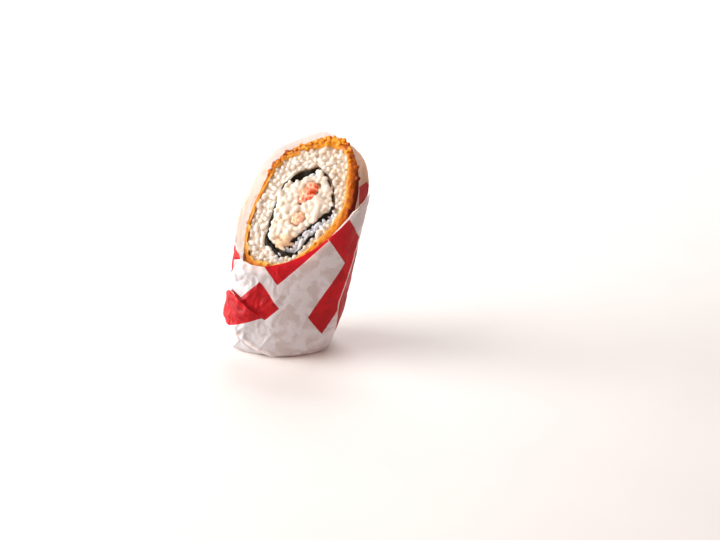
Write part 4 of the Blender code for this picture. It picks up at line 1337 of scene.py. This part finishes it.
def salad_lumps(cell):
    """The lumps and shreds that show at the cut: their middles, spans and axes."""
    draw = np.random.default_rng(RNG_SEED + 2)
    tries = draw.uniform(-20.0, 20.0, (9000, 2))
    inside = -loop_distance(tries, cell)
    at_left = near_angle(cell_angle(tries), *CELL_LEFT)
    kept = inside > 1.0 + 0.6 * at_left
    middles, spans = [], []
    for flat, room in zip(tries[kept], (inside - 0.45 * at_left)[kept]):
        radius = draw.uniform(0.0, 1.0) * 2.1 + 1.8
        radius = min(radius, (room + draw.uniform(-0.3, 0.5)) / 0.75)
        dip = hollow(flat[None])[0]
        if dip > 1.6:
            continue
        rise = -0.55 - dip + draw.uniform(-0.5, 0.45)
        if min(crab_reach(flat[None], size, radius * 0.55)[0] for size in CRAB.values()) < 1.0:
            continue
        at = on_cut(*flat, rise - radius * 0.25)
        if middles and np.min(np.linalg.norm(np.array(middles) - at, axis=1)) < 1.15 * radius:
            continue
        middles.append(at)
        long = radius * (draw.uniform(1.7, 2.8) if draw.uniform() < 0.22 else draw.uniform(0.95, 1.45))
        spans.append((long, radius * draw.uniform(0.8, 1.0), radius * draw.uniform(0.7, 0.95)))
    for x, y in TONGUE_LUMPS:
        middles.append(on_cut(x, y, -1.9))
        spans.append((1.7, 1.15, 1.2))
    for x, y, size in RIDGE_LUMPS:
        middles.append(on_cut(x, y, -0.9))
        spans.append((size, size * 0.9, size))
    return np.array(middles), np.array(spans), random_axes(draw, len(middles), 0.5)


def make_cream(look):
    """Creamy shredded salad: a soft body up to the cut, and a skin of lumps and shreds melted on it."""
    _, cell = section_parts()
    grid = grid_over(20.0, 1.1)
    grid = grid[loop_distance(grid, cell) < -1.6]
    centre = cell.mean(axis=0)
    pulled = cell + (centre - cell) * (0.95 / np.linalg.norm(cell - centre, axis=1))[:, None]
    flat, triangles = filled(pulled, [], grid[loop_distance(grid, pulled) < -0.6])
    x, y = flat.T
    sag = 1.3 + hollow(flat) + 0.5 * noise(stacked(x, y, 0.0), 3.0, 70)
    for size in CRAB.values():
        sag = sag + 1.2 * smooth_step((1.1 - crab_reach(flat, size)) * 4)
    slab = column(triangles, on_cut(x, y, -9.0), on_cut(x, y, -sag))
    made = fused("cream_salad_shreds", [slab, lumps(*salad_lumps(cell))], SALAD_VOXEL, look, 13)
    points = roughen(made, 0.1, 2.2, 2, 71)
    flat_points = section_of(points)
    # Painted shade: darker the deeper below the cut, less so in the hollow; the tongue's stain is real
    stain_and_painted_shade = np.clip((-above_cut(points) - hollow(flat_points) * 0.9 - 0.45) / 2.0, 0.0, 1.0)
    stained = smooth_step(1.5 - line_places(flat_points, TONGUE_LINE)[0] / 2.7)
    keep_value(made, "stain_and_painted_shade", np.maximum(0.85 * stain_and_painted_shade**1.2, 0.75 * stained))
    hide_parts("cream_salad")

    low_flat, low_faces = filled(pulled, [])
    x, y = low_flat.T
    base_points, base_faces = column(low_faces, leaned(x, y, FLOOR), on_cut(x, y, -8.2))
    # The hidden body is painted with half shade
    base = piece("cream_salad_body", base_points, base_faces, look,
                 {"stain_and_painted_shade": np.full(len(base_points), 0.5)})
    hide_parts("cream_salad")
    return made, base


def make_crab(name, size, rise, look, seed, ring):
    """A crab stick end on: bundled lobes of flesh melted together, domed over the salad."""
    draw = np.random.default_rng(seed)
    x, y, radius, squash, _ = size
    count = 7 if ring else 5
    middles, spans = [], []
    for step in range(count):
        angle = math.tau * step / count + draw.uniform(-0.15, 0.15)
        reach = radius * 0.55
        spot = crab_place(size, reach * math.cos(angle), reach * math.sin(angle) * squash)
        middles.append(on_cut(*spot, rise - 1.7 + draw.uniform(-0.3, 0.3)))
        wide = radius * draw.uniform(0.38, 0.48)
        spans.append((wide * 1.25, wide * 1.05, 2.0))
    for low, long, wide, high in ((1.3, 0.72, 0.6, 2.1), (3.2, 0.95, 0.8, 2.2)):
        middles.append(on_cut(x, y, rise - low))
        spans.append((radius * long, radius * wide, high))
    middles, spans = np.array(middles), np.array(spans)
    axes = np.broadcast_to(np.stack([FIRST_AXIS, SECOND_AXIS, CUT_NORMAL]), (len(middles), 3, 3))
    angle = np.linspace(0.0, math.tau, 24, endpoint=False)
    outline = np.stack(crab_place(size, radius * 0.8 * np.cos(angle), radius * 0.8 * squash * np.sin(angle)),
                       axis=1)
    flat, triangles = filled(outline, [])
    stem = column(triangles, on_cut(*flat.T, -8.0), on_cut(*flat.T, rise - 2.6))
    made = fused(name + "_flesh", [stem, lumps(middles, spans, axes)], FLESH_VOXEL, look, 8)
    points = roughen(made, 0.18, 1.3, 2, seed)
    flat_points = section_of(points)
    patch = smooth_step((noise(points, 2.2, seed + 1) + 0.1) * 1.6)
    if ring:
        share = crab_reach(flat_points, size)
        patch = smooth_step(1.0 - np.abs(share - 0.55) * 4.5) * (0.5 + 0.5 * patch)
    else:
        toward = (flat_points[:, 0] - x) * 0.5 - (flat_points[:, 1] - y) * 0.85
        patch = np.clip(0.35 * patch + 0.75 * smooth_step(toward / radius + 0.35), 0.0, 1.0)
    keep_value(made, "blush", patch)
    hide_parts(name)
    low = column(triangles, leaned(*flat.T, FLOOR), on_cut(*flat.T, -7.5))
    stick = piece(name + "_stick", *low, look, {"blush": np.full(len(low[0]), 0.3)})
    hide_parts(name)
    return made, stick


# Room


def area_light(name, place, aim, size, power, colour):
    """A round soft light at a place, turned to what it is aimed at."""
    data = bpy.data.lights.new(name, "AREA")
    data.shape = "DISK"
    data.size = size
    data.energy = power
    data.color = linear(colour)[:3]
    lamp = bpy.data.objects.new(name, data)
    lamp.location = place
    toward = np.array(aim) - np.array(place)
    pitch = math.acos(-toward[2] / np.linalg.norm(toward))
    lamp.rotation_euler = (pitch, 0.0, math.atan2(toward[1], toward[0]) - math.pi / 2)
    bpy.context.scene.collection.objects.link(lamp)


def make_room():
    """A pale floor in a bright soft room: a window and a panel on the left, a ceiling panel, a lit
    backdrop, and a faint warm fill low in front."""
    look, tree, shader, place = start_look("Pale floor", Roughness=0.6)
    soft = add(tree, "ShaderNodeTexNoise", {"Vector": place, "Scale": 1 / 60.0, "Detail": 2.0})
    colour = add(tree, "ShaderNodeMix", {0: soft.outputs["Fac"], 6: linear("#EDECEB"), 7: linear("#E7E6E5")},
                 data_type="RGBA")
    finish_look(tree, shader, Base_Color=colour.outputs[2])
    floor = piece("floor", [(-2000, -2000, 0), (2000, -2000, 0), (2000, 2000, 0), (-2000, 2000, 0)],
                  [[0, 1, 2, 3]], look)
    world = bpy.data.worlds.new("Soft room")
    bpy.context.scene.world = world
    world.use_nodes = True
    back = world.node_tree.nodes["Background"]
    back.inputs["Color"].default_value = linear("#FFEFE7")
    back.inputs["Strength"].default_value = 0.33
    for name, settings in LIGHTS.items():
        area_light(name, *settings)


def make_camera():
    """The camera, looking down a little from in front."""
    data = bpy.data.cameras.new("Camera")
    data.lens = 85.0
    data.sensor_width = 36.0
    data.clip_start = 0.01
    camera = bpy.data.objects.new("Camera", data)
    camera.location = (0.0468, -0.93979, 0.39875)
    camera.rotation_euler = (math.radians(69.4), 0.0, 0.0)
    bpy.context.scene.collection.objects.link(camera)
    bpy.context.scene.camera = camera


def main():
    """Build everything and attach each piece to the root body."""
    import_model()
    make_camera()
    make_room()
    bpy.context.scene.view_settings.view_transform = "Standard"

    paper = paper_look()
    bright = crab_look("Crab stick, pink", "#EE9068", "#D2481A")
    faint = crab_look("Crab stick, pale", "#E8C6A4", "#DE7A36")
    slots = {
        "waxed_paper": (make_front_sheet(paper), *make_pleats(paper), make_back_sheet(paper),
                        make_base(paper)),
        "fried_batter": make_batter(batter_look()),
        "rice": make_rice(rice_look()),
        "nori": (make_nori(nori_look()),),
        "cream_salad": make_cream(cream_look()),
        "crab": (*make_crab("crab_piece_a", CRAB["crab_piece_a"], 1.7, bright, 21, False),
                 *make_crab("crab_piece_b", CRAB["crab_piece_b"], 1.0, faint, 22, True)),
    }
    for slot, pieces in slots.items():
        for made in pieces:
            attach(made, "root")


main()
